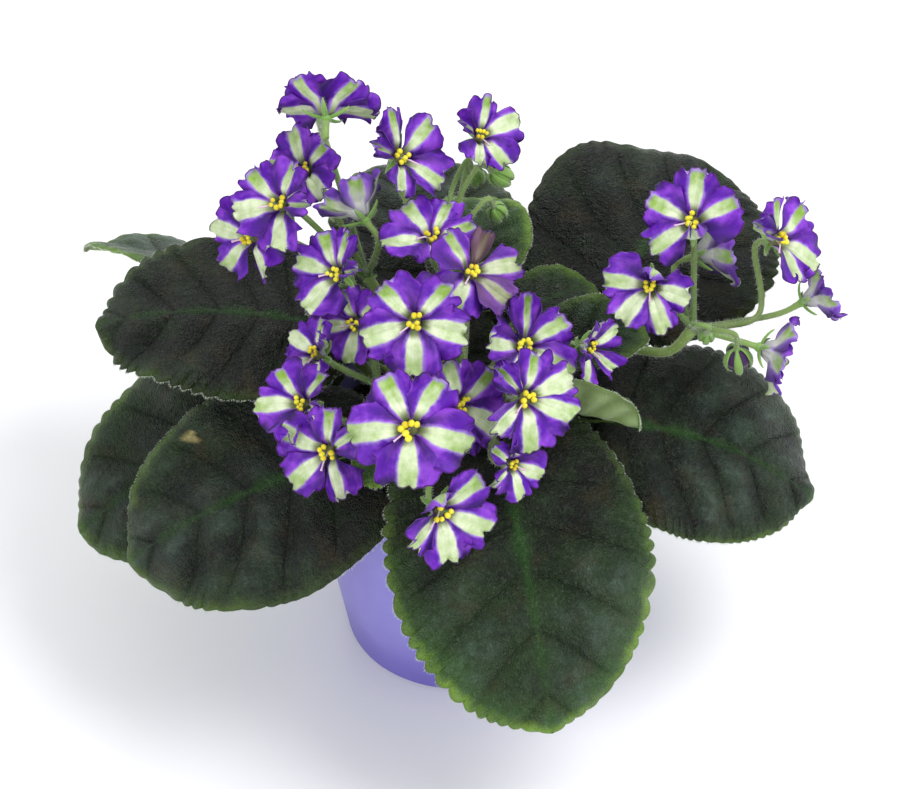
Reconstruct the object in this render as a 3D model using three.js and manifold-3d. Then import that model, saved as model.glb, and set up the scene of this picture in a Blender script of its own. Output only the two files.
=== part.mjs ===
// A small African violet in a plastic pot: rosette of fleshy leaves, six flower stalks, striped blooms.
// Millimetres, +Z up, the origin in the middle of the pot's foot; the front of the plant faces -Y.
import * as THREE from "three";
import { mergeVertices } from "three/addons/utils/BufferGeometryUtils.js";
import Module from "manifold-3d";

const wasm = await Module();
wasm.setup();

// Driving dimensions.
const pot = { height: 84, footRadius: 36, rimRadius: 50, wall: 1.8, floor: 2.6, lipHeight: 9, lipOut: 1.4 };
const soilTop = { edge: 70, middle: 74 };
const crown = { radius: 10, foot: 58, top: 93, neck: 7.5, hearts: 3, heartWidth: 5, heartHeight: 9 };
const gap = 0.35; // between pieces that touch
const leafBody = { thickness: 1.2, petioleRadius: 2.1, petioleSides: 5, toothDepth: 0.9, ribs: 0.55 };
const bloomBody = {
  thickness: 0.8, notch: 0.72, upperLobes: 0.93, throatDepth: 3.2, throatShare: 0.2, ruffle: 1.1, innerRing: 0.62,
};
const anthers = { halfWidth: 2.2, halfHeight: 1.5, clearance: 0.2 };
const calyx = { radius: 5, notchRadius: 1.7, thickness: 0.9, back: 1.0 };
const stalkBody = { radius: 1.5, pedicelRadius: 0.95, standOff: 11, upright: 8 };
const budShape = { girth: 0.34, sides: 5, rings: 4 };

// Leaves: base and tip are the two ends of the blade's midrib. arch lifts the midrib's middle, sweep bows it
// sideways, roll turns the blade about it, cup lifts both edges, wave is the slow undulation of the edge, and
// level is the height at which the petiole leaves the crown.
const leaves = [
  { name: "leaf_front", base: [12, -30, 101], tip: [28, -92, 42], width: 80, arch: 7, sweep: 0, roll: 2, cup: -3, wave: 1.2, level: 89 },
  { name: "leaf_front_left", base: [-29, -27, 96], tip: [-101, -41, 63], width: 72, arch: 7, sweep: 2, roll: -28, cup: -3, wave: 1.2, level: 84 },
  { name: "leaf_left_low", base: [-40.5, 0, 94.2], tip: [-119, -17, 52], width: 68, arch: 7, sweep: 0, roll: -28, cup: -2, wave: 1, level: 79 },
  { name: "leaf_left_high", base: [-42, 16, 109.7], tip: [-113, 20, 106], width: 64, arch: 6, sweep: 0, roll: -12, cup: 2, wave: 1.5, level: 82 },
  { name: "leaf_far_left", base: [-54, 54, 92], tip: [-121, 82, 88], width: 54, arch: 3, sweep: 0, roll: 30, cup: 2, wave: 1.5, level: 84 },
  { name: "leaf_right", base: [41, -9, 92.5], tip: [111, -14, 64], width: 68, arch: 8, sweep: 0, roll: 21, cup: -3, wave: 1.2, level: 86 },
  { name: "leaf_right_low", base: [46, 11, 89.3], tip: [94, 18, 64], width: 42, arch: 4, sweep: 0, roll: 0, cup: -2, wave: 1, level: 79 },
  { name: "leaf_back_right", base: [45, 34, 105], tip: [87, 80, 118], width: 86, arch: 4, sweep: 0, roll: 4, cup: 2, wave: 1.2, level: 87 },
  { name: "leaf_back_right_low", base: [26, 41, 89], tip: [54, 90, 80], width: 55, arch: 4, sweep: 0, roll: 0, cup: -2, wave: 1, level: 79 },
  { name: "leaf_back", base: [-6, 40, 102], tip: [-16, 106, 106], width: 62, arch: 5, sweep: 0, roll: 0, cup: 0, wave: 1.2, level: 85 },
  { name: "leaf_back_left", base: [-4, 27, 86], tip: [-28, 97, 82], width: 42, arch: 6, sweep: 0, roll: 0, cup: 0, wave: 1, level: 79 },
  { name: "leaf_back_middle", base: [3, 39, 110], tip: [11, 76, 113], width: 34, arch: 3, sweep: 0, roll: 0, cup: 3, wave: 1, level: 91 },
  { name: "leaf_young_back", base: [18, 22, 108], tip: [43, 35, 110], width: 26, arch: 2, sweep: 0, roll: 0, cup: 3, wave: 0.8, level: 91 },
  { name: "leaf_young_right", base: [25, 0, 110], tip: [58, 10, 113], width: 28, arch: 3, sweep: 0, roll: 10, cup: 3, wave: 0.8, level: 91 },
  { name: "leaf_young_left", base: [-20, 9, 106], tip: [-46, 22, 115], width: 26, arch: 2, sweep: 0, roll: 0, cup: 2, wave: 0.8, level: 91 },
  { name: "leaf_young_front", base: [-15, -18, 104], tip: [-27, -46, 100], width: 22, arch: 2, sweep: 0, roll: 0, cup: 2, wave: 0.8, level: 91 },
  { name: "leaf_curled", base: [23.5, -13, 101.2], tip: [55, -23, 102.5], width: 35, arch: 2, sweep: 0, roll: -52, cup: 8, wave: 0.8, level: 90 },
];

// Flower stalks: foot is where the stalk leaves the crown, fork where its pedicels part. A bloom has its throat
// at place and faces a compass angle (0 is to the front, 90 to the right) and an elevation, is spun about its own
// axis, and has its size across and its bowl (how far the petals' ends come forward). by is where a pedicel goes
// round a neighbour, and way where a stalk does. A bud hangs at its place, size long.
const sprays = [
  {
    name: "back_left", foot: [-6, 4], fork: [-28, 22, 124],
    blooms: [
      { place: [-40, 45, 172], face: [180, 22], spin: 0, size: 31, bowl: 5, by: [[-38, 53, 140], [-44, 66, 154]] },
      { place: [-47.5, 40.3, 151.8], face: [-28, 48], spin: 0, size: 27, bowl: 3 },
      { place: [-54, 18, 156], face: [-35, 42], spin: 0, size: 31, bowl: 1 },
      { place: [-64, 23, 139], face: [-42, 25], spin: 15, size: 28, bowl: 1 },
      { place: [-30.5, 27, 146.5], face: [-142, 26], spin: 0, size: 29, bowl: 7 },
    ],
  },
  {
    name: "left", foot: [-7, -3], fork: [-24, -8, 106],
    blooms: [
      { place: [-37, 6, 139], face: [-35, 45], spin: 0, size: 29, bowl: 1 },
      { place: [-31, 0, 124], face: [-20, 30], spin: 0, size: 25, bowl: 2 },
      { place: [-43, -11, 122], face: [-60, 50], spin: 25, size: 24, bowl: 2 },
      { place: [-47, -27, 116], face: [-35, 45], spin: 0, size: 29, bowl: 1, by: [[-33, -22, 104]] },
      { place: [-39, -43, 111], face: [-22, 28], spin: 30, size: 31, bowl: 0 },
    ],
  },
  {
    name: "top", foot: [1, 7], fork: [-4, 20, 126],
    blooms: [
      { place: [-17, 36, 160], face: [30, 45], spin: 0, size: 31, bowl: 4 },
      { place: [-8, 15, 146], face: [-15, 80], spin: 0, size: 30, bowl: 3 },
      { place: [4, -3, 147], face: [20, 50], spin: 10, size: 30, bowl: 2 },
      { place: [7, 52, 156], face: [25, 55], spin: 0, size: 26, bowl: 2 },
    ],
    buds: [
      { place: [5, 55, 138], by: [[-2, 42, 142], [3, 50, 148]], size: 6 },
      { place: [13, 50, 142], by: [[-1, 38, 138], [7, 46, 149]], size: 7 },
      { place: [12, 42, 134], by: [[2, 32, 136], [9, 38, 142]], size: 5 },
    ],
  },
  {
    name: "front", foot: [-2, -7], fork: [-8, -18, 108],
    blooms: [
      { place: [-13, -19, 141], face: [0, 40], spin: 0, size: 33, bowl: 1 },
      { place: [-14, -52, 129], face: [-3, 42], spin: 36, size: 36, bowl: 0 },
      { place: [-5, -61, 104], face: [22, 28], spin: 0, size: 33, bowl: 1, by: [[-8, -36, 108]] },
      { place: [1, -28, 116], face: [40, 35], spin: 0, size: 31, bowl: 1 },
    ],
  },
  {
    name: "inner_right", foot: [5, -5], fork: [14, -12, 108],
    blooms: [
      { place: [20, -14, 128], face: [12, 52], spin: 0, size: 32, bowl: 2 },
      { place: [39.5, -11.5, 124.5], face: [54, 20], spin: 0, size: 22.5, bowl: 3 },
      { place: [20, -36, 126], face: [22, 38], spin: 36, size: 32, bowl: 0 },
      { place: [16, -45, 108], face: [38, 25], spin: 0, size: 22, bowl: 2 },
    ],
  },
  {
    name: "right", foot: [7, 2], fork: [72, 7, 116], way: [[24, 10, 98], [50, 15, 101], [65, 9, 105]],
    blooms: [
      { place: [71, 22, 146], face: [-10, 46], spin: 36, size: 33, bowl: 0 },
      { place: [57.5, 2.5, 137], face: [-18, 42], spin: 0, size: 29, bowl: 1 },
      { place: [98, 21, 140], face: [50, 38], spin: 0, size: 33, bowl: 1, by: [[92, 11, 118]] },
      { place: [110, 21, 117], face: [108, 20], spin: 0, size: 24.5, bowl: 6 },
      { place: [96, 1, 112], face: [77, -12], spin: 0, size: 28, bowl: 6 },
      { place: [77, 30, 128], face: [110, 14], spin: 0, size: 29, bowl: 6 },
    ],
    buds: [
      { place: [86, 4, 107], by: [[77, 2, 120], [84, 1, 119]], size: 11 },
      { place: [76, 6, 114], by: [[72, 2, 122], [76, 1, 122]], size: 6 },
    ],
  },
];

const finishes = {
  pot: { color: 0x8079c6, roughness: 0.55, metalness: 0 },
  soil: { color: 0x3a2a1e, roughness: 0.95, metalness: 0 },
  leaf: { color: 0x2c4a2c, roughness: 0.6, metalness: 0 },
  stem: { color: 0x8fae62, roughness: 0.6, metalness: 0 },
  petal: { color: 0x6a2fc0, roughness: 0.6, metalness: 0 },
};

const radians = THREE.MathUtils.degToRad;
const plant = new THREE.Group();

function addPiece(name, geometry, finish) {
  const mesh = new THREE.Mesh(geometry, new THREE.MeshStandardMaterial(finishes[finish]));
  mesh.name = name;
  plant.add(mesh);
  return mesh;
}

function solidOf(geometry) {
  const bare = geometry.clone();
  bare.deleteAttribute("normal");
  bare.deleteAttribute("uv");
  const merged = mergeVertices(bare, 1e-4);
  const triVerts = new Uint32Array(merged.index.array);
  const vertProperties = new Float32Array(merged.attributes.position.array);
  return new wasm.Manifold(new wasm.Mesh({ numProp: 3, vertProperties, triVerts }));
}

function geometryOf(solid) {
  const { vertProperties, triVerts } = solid.getMesh();
  const geometry = new THREE.BufferGeometry();
  geometry.setAttribute("position", new THREE.BufferAttribute(new Float32Array(vertProperties), 3));
  geometry.setIndex([...triVerts]);
  const flat = geometry.toNonIndexed();
  flat.computeVertexNormals();
  return flat;
}

function fuse(geometries) {
  return geometries.map(solidOf).reduce((whole, next) => whole.add(next));
}

// A thin sheet of even thickness about the given points, split into triangles alike on both faces.
function sheet(points, triangles, thickness) {
  const normals = points.map(() => new THREE.Vector3());
  const edges = new Map();
  for (const [a, b, c] of triangles) {
    const across = new THREE.Vector3().subVectors(points[b], points[a]);
    const along = new THREE.Vector3().subVectors(points[c], points[a]);
    const normal = across.cross(along);
    for (const corner of [a, b, c]) normals[corner].add(normal);
    for (const [from, to] of [[a, b], [b, c], [c, a]]) {
      if (!edges.delete(`${to},${from}`)) edges.set(`${from},${to}`, [from, to]);
    }
  }
  const count = points.length;
  const positions = [];
  for (const side of [0.5, -0.5]) {
    points.forEach((point, i) => {
      const offset = normals[i].clone().setLength(thickness * side);
      positions.push(...point.clone().add(offset).toArray());
    });
  }
  const index = [];
  for (const [a, b, c] of triangles) {
    index.push(a, b, c, a + count, c + count, b + count);
  }
  for (const [from, to] of edges.values()) {
    index.push(from, from + count, to + count, from, to + count, to);
  }
  const geometry = new THREE.BufferGeometry();
  geometry.setAttribute("position", new THREE.Float32BufferAttribute(positions, 3));
  geometry.setIndex(index);
  return geometry;
}

function tube(points, radius, sides, steps) {
  const section = new THREE.Shape();
  for (let i = 0; i < sides; i++) {
    const angle = (i / sides) * 2 * Math.PI;
    const [x, y] = [radius * Math.cos(angle), radius * Math.sin(angle)];
    if (i === 0) section.moveTo(x, y);
    else section.lineTo(x, y);
  }
  section.closePath();
  const path = new THREE.CatmullRomCurve3(points, false, "centripetal");
  return new THREE.ExtrudeGeometry(section, { extrudePath: path, steps, bevelEnabled: false });
}

// Pot: a tapered wall with a rolled lip, and a flat floor.
function makePot() {
  const { height, footRadius, rimRadius, wall, floor, lipHeight, lipOut } = pot;
  const lipFoot = height - lipHeight;
  const radiusAt = (z) => footRadius + ((rimRadius - lipOut - footRadius) * z) / lipFoot;
  const profile = [
    [0, 0], [footRadius - 0.8, 0], [footRadius, 0.8],
    [radiusAt(lipFoot), lipFoot], [rimRadius, lipFoot + 1.2], [rimRadius, height - 0.8], [rimRadius - 0.8, height],
    [rimRadius - 2, height], [rimRadius - 2.8, height - 0.8], [radiusAt(lipFoot) - wall, lipFoot],
    [footRadius - wall, floor], [0, floor],
  ].map(([r, z]) => new THREE.Vector2(r, z));
  const lathe = new THREE.LatheGeometry(profile, 28);
  lathe.rotateX(Math.PI / 2);
  return geometryOf(solidOf(lathe));
}

function potInnerRadius(z) {
  const lipFoot = pot.height - pot.lipHeight;
  const inside = pot.rimRadius - pot.lipOut - pot.wall;
  const foot = pot.footRadius - pot.wall;
  return foot + ((inside - foot) * (z - pot.floor)) / (lipFoot - pot.floor);
}

// Soil: fills the pot up to below the rim, slightly mounded, with a plain hole for the crown's foot.
function makeSoil() {
  const bottom = pot.floor + gap;
  const hole = crown.neck + gap;
  const profile = [
    [0, bottom], [potInnerRadius(bottom) - gap, bottom], [potInnerRadius(soilTop.edge) - gap, soilTop.edge],
    [24, soilTop.middle - 1], [hole, soilTop.middle], [hole, crown.foot - gap], [0, crown.foot - gap],
  ].map(([r, z]) => new THREE.Vector2(r, z));
  const lathe = new THREE.LatheGeometry(profile, 28);
  lathe.rotateX(Math.PI / 2);
  return geometryOf(solidOf(lathe));
}

// A leaf blade's outline: rows run across the midrib, from the heart-shaped base to the tip.
const firstRow = radians(36);
function bladePoint(leaf, row, across, edge) {
  const angle = firstRow + (Math.PI - firstRow) * row;
  const share = (1 - Math.cos(angle)) / 2;
  const halfWidth = (leaf.width / 2) * Math.sin(angle) * (1 + 0.1 * Math.cos(angle));
  const start = (1 - Math.cos(firstRow)) / 2;
  const along = (share - start) / (1 - start);
  const lobe = 0.1 * Math.sin(0.75 * Math.PI * Math.abs(across)) * Math.max(0, 1 - row / 0.45) ** 2;
  const undulation = leaf.wave * Math.sin(row * 11 + (across > 0 ? 1.3 : 0)) * across ** 2;
  const rise = leaf.cup * across ** 2 * Math.sin(angle) + undulation;
  const frame = midribFrame(leaf, along - lobe);
  return frame.point.addScaledVector(frame.side, across * (halfWidth + edge)).addScaledVector(frame.normal, rise);
}

function midribFrame(leaf, along) {
  const base = new THREE.Vector3(...leaf.base);
  const tip = new THREE.Vector3(...leaf.tip);
  const chord = tip.clone().sub(base);
  const flatSide = new THREE.Vector3(0, 0, 1).cross(chord).normalize();
  const lift = chord.clone().cross(flatSide).normalize();
  const bend = base.clone().add(tip).multiplyScalar(0.5);
  bend.addScaledVector(lift, 2 * leaf.arch).addScaledVector(flatSide, 2 * leaf.sweep);
  const u = 1 - along;
  const point = base.clone().multiplyScalar(u * u);
  point.addScaledVector(bend, 2 * u * along).addScaledVector(tip, along * along);
  const tangent = bend.clone().sub(base).multiplyScalar(u);
  tangent.addScaledVector(tip.clone().sub(bend), along).normalize();
  const level = new THREE.Vector3(0, 0, 1).cross(tangent).normalize();
  const upright = tangent.clone().cross(level);
  const roll = radians(leaf.roll) * (0.45 + 0.55 * THREE.MathUtils.smoothstep(along, 0, 0.5));
  const side = level.clone().multiplyScalar(Math.cos(roll)).addScaledVector(upright, Math.sin(roll));
  const normal = upright.multiplyScalar(Math.cos(roll)).addScaledVector(level, -Math.sin(roll));
  return { point, tangent, side, normal };
}

function makeBlade(leaf) {
  const steps = leaf.width < 53 ? 12 : 18; // even: the inner rows skip every other edge point
  const points = [];
  const put = (point) => points.push(point) - 1;
  const tooth = (i) => (i % 2 ? 1 : -1) * leafBody.toothDepth / 2;
  const middle = [];
  for (let j = 0; j < steps / 2; j++) middle.push(put(bladePoint(leaf, (2 * j) / steps, 0, 0)));
  const tip = put(bladePoint(leaf, 1, 0, 0));
  middle.push(tip);
  const triangles = [];
  for (const side of [1, -1]) {
    const flip = (a, b, c) => triangles.push(side > 0 ? [a, b, c] : [a, c, b]);
    const ribs = [];
    for (let j = 0; j < steps / 2; j++) ribs.push(put(bladePoint(leaf, (2 * j) / steps, side * leafBody.ribs, 0)));
    const edge = [];
    for (let i = 0; i < steps; i++) edge.push(put(bladePoint(leaf, i / steps, side, tooth(i))));
    edge.push(tip);
    for (let j = 0; j < ribs.length - 1; j++) {
      flip(middle[j], ribs[j + 1], ribs[j]);
      flip(middle[j], middle[j + 1], ribs[j + 1]);
      flip(ribs[j], edge[2 * j + 1], edge[2 * j]);
      flip(ribs[j], ribs[j + 1], edge[2 * j + 1]);
      flip(ribs[j + 1], edge[2 * j + 2], edge[2 * j + 1]);
    }
    const last = ribs.length - 1;
    flip(middle[last], tip, ribs[last]);
    flip(ribs[last], edge[steps - 1], edge[steps - 2]);
    flip(ribs[last], tip, edge[steps - 1]);
  }
  return sheet(points, triangles, leafBody.thickness);
}

// The petiole leaves the crown level and runs on under the blade as its keel.
function makePetiole(leaf) {
  const { petioleRadius, petioleSides, thickness } = leafBody;
  const azimuth = Math.atan2(leaf.base[1], leaf.base[0]);
  const outward = new THREE.Vector3(Math.cos(azimuth), Math.sin(azimuth), 0);
  const root = outward.clone().multiplyScalar(crown.radius + gap).setZ(leaf.level);
  const first = root.clone().addScaledVector(outward, 4);
  const path = [root, first];
  const keel = (along) => {
    const frame = midribFrame(leaf, along);
    return frame.point.addScaledVector(frame.normal, -(petioleRadius * (1 - along) + thickness) * 0.6);
  };
  path.push(keel(0), keel(0.1));
  return tube(path, petioleRadius, petioleSides, 5);
}

function makeLeaf(leaf) {
  return geometryOf(fuse([makeBlade(leaf), makePetiole(leaf)]));
}

// Crown: the short upright stem that all petioles and stalks grow from, with young leaves in its heart.
function makeCrown() {
  const { radius, foot, top, neck } = crown;
  const profile = [
    [0, foot], [neck - 1.5, foot], [neck, foot + 4], [neck, soilTop.middle + 0.4], [radius, soilTop.middle + 4],
    [radius, top - 2], [radius - 2, top], [0, top],
  ].map(([r, z]) => new THREE.Vector2(r, z));
  const lathe = new THREE.LatheGeometry(profile, 14);
  lathe.rotateX(Math.PI / 2);
  const pieces = [lathe];
  for (let i = 0; i < crown.hearts; i++) {
    const angle = i * 2.4; // the golden angle
    const outward = new THREE.Vector3(Math.cos(angle), Math.sin(angle), 0);
    const base = outward.clone().multiplyScalar(1.2).setZ(top - 1);
    const tip = outward.clone().multiplyScalar(3.6).setZ(top + crown.heartHeight + i);
    const bends = { arch: 0.5, sweep: 0, roll: 0, cup: 0.6, wave: 0.1 };
    pieces.push(makeYoungBlade({ base: base.toArray(), tip: tip.toArray(), width: crown.heartWidth, ...bends }));
  }
  return geometryOf(fuse(pieces));
}

function makeYoungBlade(leaf) {
  const points = [];
  const triangles = [];
  const rows = 3;
  for (let i = 0; i < rows; i++) {
    for (const across of [-1, 0, 1]) points.push(bladePoint(leaf, i / rows, across, 0));
  }
  const tip = points.push(bladePoint(leaf, 1, 0, 0)) - 1;
  for (let i = 0; i < rows - 1; i++) {
    for (const j of [0, 1]) {
      const a = 3 * i + j;
      triangles.push([a, a + 3, a + 4], [a, a + 4, a + 1]);
    }
  }
  const last = 3 * (rows - 1);
  triangles.push([last, tip, last + 1], [last + 1, tip, last + 2]);
  return sheet(points, triangles, leafBody.thickness);
}

// Bloom: one corolla of five lobes round a throat, facing +Z, the two upper lobes smaller, with its joined anthers.
function makeBloom(bloom) {
  const { thickness, notch, upperLobes, throatDepth, throatShare, ruffle, innerRing } = bloomBody;
  const lobeEdge = [notch, 0.94, 1, 0.99, 0.95];
  const lobeWave = [0, 1, -0.6, 0.7, -1];
  const steps = lobeEdge.length;
  const around = 5 * steps;
  const start = radians(54 + bloom.spin);
  const points = [new THREE.Vector3(0, 0, -throatDepth)];
  const polar = (radius, turn, height) => {
    const angle = start + turn * 2 * Math.PI;
    return new THREE.Vector3(radius * Math.cos(angle), radius * Math.sin(angle), height);
  };
  for (let lobe = 0; lobe < 5; lobe++) points.push(polar((bloom.size / 2) * throatShare, (lobe + 0.5) / 5, 0));
  for (const ring of [innerRing, 1]) {
    const outmost = ring === 1;
    for (let i = 0; i < around; i++) {
      const step = i % steps;
      const upper = i < 2 * steps ? upperLobes : 1;
      const outline = outmost ? lobeEdge[step] : 0.8 + 0.2 * lobeEdge[step];
      const height = bloom.bowl * ring ** 2 + ruffle * lobeWave[step] * (outmost ? 1 : 0.2);
      points.push(polar((bloom.size / 2) * ring * outline * upper, i / around, height));
    }
  }
  const triangles = [];
  const inner = 6;
  const outer = inner + around;
  for (let lobe = 0; lobe < 5; lobe++) {
    const throat = 1 + lobe;
    triangles.push([0, throat, 1 + ((lobe + 1) % 5)]);
    for (let i = lobe * steps; i < (lobe + 1) * steps; i++) {
      triangles.push([throat, inner + i, inner + ((i + 1) % around)]);
    }
    triangles.push([throat, inner + (((lobe + 1) * steps) % around), 1 + ((lobe + 1) % 5)]);
  }
  for (let i = 0; i < around; i++) {
    const next = (i + 1) % around;
    triangles.push([inner + i, outer + i, outer + next], [inner + i, outer + next, inner + next]);
  }
  const cone = new THREE.OctahedronGeometry(1, 0);
  cone.scale(anthers.halfWidth, anthers.halfHeight, throatDepth - anthers.clearance);
  return geometryOf(fuse([sheet(points, triangles, thickness), cone]));
}

function turnBloom(piece, bloom) {
  const [azimuth, elevation] = bloom.face;
  piece.position.set(...bloom.place);
  piece.rotation.set(radians(90 - elevation), 0, radians(azimuth), "ZXY");
  piece.updateMatrix();
}

// The calyx behind a bloom: five narrow sepals, a star that curves back a little.
function makeCalyx(bloom) {
  const top = -(bloomBody.throatDepth + bloomBody.thickness / 2 + gap + calyx.thickness / 2);
  const points = [new THREE.Vector3(0, 0, top)];
  const triangles = [];
  for (let i = 0; i < 10; i++) {
    const angle = radians(bloom.spin + 90 + 36 * i);
    const radius = i % 2 ? calyx.notchRadius : calyx.radius;
    const height = i % 2 ? top : top + calyx.back;
    points.push(new THREE.Vector3(radius * Math.cos(angle), radius * Math.sin(angle), height));
    triangles.push([0, 1 + i, 1 + ((i + 1) % 10)]);
  }
  const holder = new THREE.Object3D();
  turnBloom(holder, bloom);
  return sheet(points, triangles, calyx.thickness).applyMatrix4(holder.matrix);
}

function makeStalk(spray) {
  const fork = new THREE.Vector3(...spray.fork);
  const foot = new THREE.Vector3(...spray.foot, crown.top + gap);
  const lower = foot.clone().setZ(crown.top + stalkBody.upright);
  const way = (spray.way ?? []).map((point) => new THREE.Vector3(...point));
  const pieces = [tube([foot, lower, ...way, fork], stalkBody.radius, 5, 5 + 2 * way.length)];
  for (const bloom of spray.blooms) {
    const holder = new THREE.Object3D();
    turnBloom(holder, bloom);
    const behind = (distance) => new THREE.Vector3(0, 0, -distance).applyMatrix4(holder.matrix);
    const path = [fork];
    for (const point of bloom.by ?? []) path.push(new THREE.Vector3(...point));
    path.push(behind(stalkBody.standOff), behind(bloomBody.throatDepth + calyx.thickness + gap));
    pieces.push(tube(path, stalkBody.pedicelRadius, 4, path.length), makeCalyx(bloom));
  }
  for (const bud of spray.buds ?? []) {
    const path = [fork, ...bud.by, bud.place].map((point) => new THREE.Vector3(...point));
    pieces.push(tube(path, stalkBody.pedicelRadius, 4, path.length), makeBud(bud));
  }
  return geometryOf(fuse(pieces));
}

function makeBud(bud) {
  const shell = new THREE.SphereGeometry(1, budShape.sides, budShape.rings);
  shell.rotateX(Math.PI / 2);
  shell.scale(bud.size * budShape.girth, bud.size * budShape.girth, bud.size / 2);
  return shell.translate(...bud.place);
}

addPiece("pot", makePot(), "pot");
addPiece("soil", makeSoil(), "soil");
addPiece("crown", makeCrown(), "leaf");
for (const leaf of leaves) addPiece(leaf.name, makeLeaf(leaf), "leaf");
for (const spray of sprays) {
  addPiece(`stalk_${spray.name}`, makeStalk(spray), "stem");
  spray.blooms.forEach((bloom, i) => {
    turnBloom(addPiece(`bloom_${spray.name}_${i + 1}`, makeBloom(bloom), "petal"), bloom);
  });
}

export default plant;
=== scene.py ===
# Potted African violet: striped blooms over a rosette of velvety leaves, in a plastic pot.
# Lengths in this script are millimetres until a mesh is made; +Z is up and the plant's front faces -Y.
from math import acos, atan2, cos, pi, radians, sin, sqrt, tan

import bpy
import numpy as np
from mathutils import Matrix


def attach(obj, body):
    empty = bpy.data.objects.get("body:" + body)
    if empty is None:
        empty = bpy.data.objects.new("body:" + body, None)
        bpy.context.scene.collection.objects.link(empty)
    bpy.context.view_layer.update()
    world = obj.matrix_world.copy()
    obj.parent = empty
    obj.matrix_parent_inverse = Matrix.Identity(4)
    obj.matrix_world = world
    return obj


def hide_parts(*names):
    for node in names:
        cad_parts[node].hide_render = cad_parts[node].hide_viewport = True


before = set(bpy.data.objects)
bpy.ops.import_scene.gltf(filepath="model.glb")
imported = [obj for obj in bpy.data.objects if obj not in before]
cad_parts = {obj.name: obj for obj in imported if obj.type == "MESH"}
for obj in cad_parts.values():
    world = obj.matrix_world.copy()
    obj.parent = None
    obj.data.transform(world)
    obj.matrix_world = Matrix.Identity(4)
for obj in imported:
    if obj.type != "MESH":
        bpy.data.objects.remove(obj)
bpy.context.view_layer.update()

metresPerMm = 0.001
layerNames = ("flat", "marks", "tone")  # UV maps that carry what the materials need
print("frame loaded")


# camera
camera = {"place": (-2.5, -695.8, 721.7), "elevation": 42.0, "lens": 121.2, "sensor": 36.0}


def makeCamera():
    data = bpy.data.cameras.new("photoCamera")
    data.lens = camera["lens"]
    data.sensor_width = camera["sensor"]
    data.sensor_fit = "HORIZONTAL"
    eye = bpy.data.objects.new("photoCamera", data)
    bpy.context.collection.objects.link(eye)
    eye.location = [c * metresPerMm for c in camera["place"]]
    eye.rotation_euler = (radians(90 - camera["elevation"]), 0, 0)
    bpy.context.scene.camera = eye


# small maths
def smooth(value, low, high):
    t = np.clip((np.asarray(value, float) - low) / (high - low), 0, 1)
    return t * t * (3 - 2 * t)


def unit(vectors):
    vectors = np.asarray(vectors, float)
    length = np.linalg.norm(vectors, axis=-1, keepdims=True)
    return vectors / np.maximum(length, 1e-9)


def ripple(x, y, seed, waves=5):
    # slow, repeatable unevenness between about -1 and 1
    rng = np.random.default_rng(seed)
    total = np.zeros(np.broadcast(x, y).shape)
    for _ in range(waves):
        fx, fy = rng.normal(0, 1, 2)
        total = total + np.sin(fx * x + fy * y + rng.uniform(0, 2 * pi))
    return total / waves * 1.6


def turns(sides):
    return np.linspace(0, 2 * pi, sides, endpoint=False)


def lengthsAlong(path):
    # how far along a line of points each of them lies
    return np.concatenate([[0], np.cumsum(np.linalg.norm(np.diff(path, axis=0), axis=1))])


def readAt(at, steps, values):
    return np.stack([np.interp(at, steps, values[:, i]) for i in range(3)], -1)


def inPlane(axes, angle):
    # a direction in the plane of a frame's first two rows
    return axes[0] * cos(angle) + axes[1] * sin(angle)


def pair(first, second):
    return np.stack(np.broadcast_arrays(first, second), -1)


def curveThrough(points, count):
    # centripetal Catmull-Rom, like the part's own tubes
    p = np.asarray(points, float)
    p = np.vstack([2 * p[0] - p[1], p, 2 * p[-1] - p[-2]])
    lengths = np.linalg.norm(np.diff(p[1:-1], axis=0), axis=1)
    shares = np.maximum(2, np.round(count * lengths / lengths.sum()).astype(int))
    out = []
    for i, share in enumerate(shares):
        a, b, c, d = p[i:i + 4]
        spans = np.maximum(np.linalg.norm(np.diff(p[i:i + 4], axis=0), axis=1), 1e-6)
        t0, t1, t2, t3 = np.cumsum([0, *np.sqrt(spans)])
        t = np.linspace(t1, t2, share, endpoint=i == len(shares) - 1)[:, None]

        def between(low, high, start, end):
            return (high - t) / (high - low) * start + (t - low) / (high - low) * end
        middle = between(t1, t2, b, c)
        near = between(t0, t2, between(t0, t1, a, b), middle)
        far = between(t1, t3, middle, between(t2, t3, c, d))
        out.append(between(t1, t2, near, far))
    return np.vstack(out)


# mesh building
def newShape():
    return {"points": [], "faces": [], "skins": [], "layers": [], "count": 0}


def addPart(shape, points, faces, skin=0, flat=(0, 0), marks=(0, 0), tone=(0, 0)):
    # faces are rows of four point numbers, the last of them -1 in a triangle
    points = points.reshape(-1, 3)
    layers = np.zeros((len(points), 6))
    for i, layer in enumerate((flat, marks, tone)):
        layers[:, 2 * i:2 * i + 2] = layer
    shape["points"].append(points)
    shape["faces"].append(np.where(faces < 0, -1, faces + shape["count"]))
    shape["skins"].append(np.broadcast_to(skin, len(faces)))
    shape["layers"].append(layers)
    shape["count"] += len(points)


def gridFaces(rows, columns, wrapped=False):
    index = np.arange(rows * columns).reshape(rows, columns)
    if wrapped:
        index = np.hstack([index, index[:, :1]])
    corners = [index[:-1, :-1], index[:-1, 1:], index[1:, 1:], index[1:, :-1]]
    return np.stack(corners, -1).reshape(-1, 4)


def fanFaces(middle, ring, flipped=False):
    after = np.roll(ring, -1)
    edge = (after, ring) if flipped else (ring, after)
    return np.stack([np.full(len(ring), middle), *edge, np.full(len(ring), -1)], -1)


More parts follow.
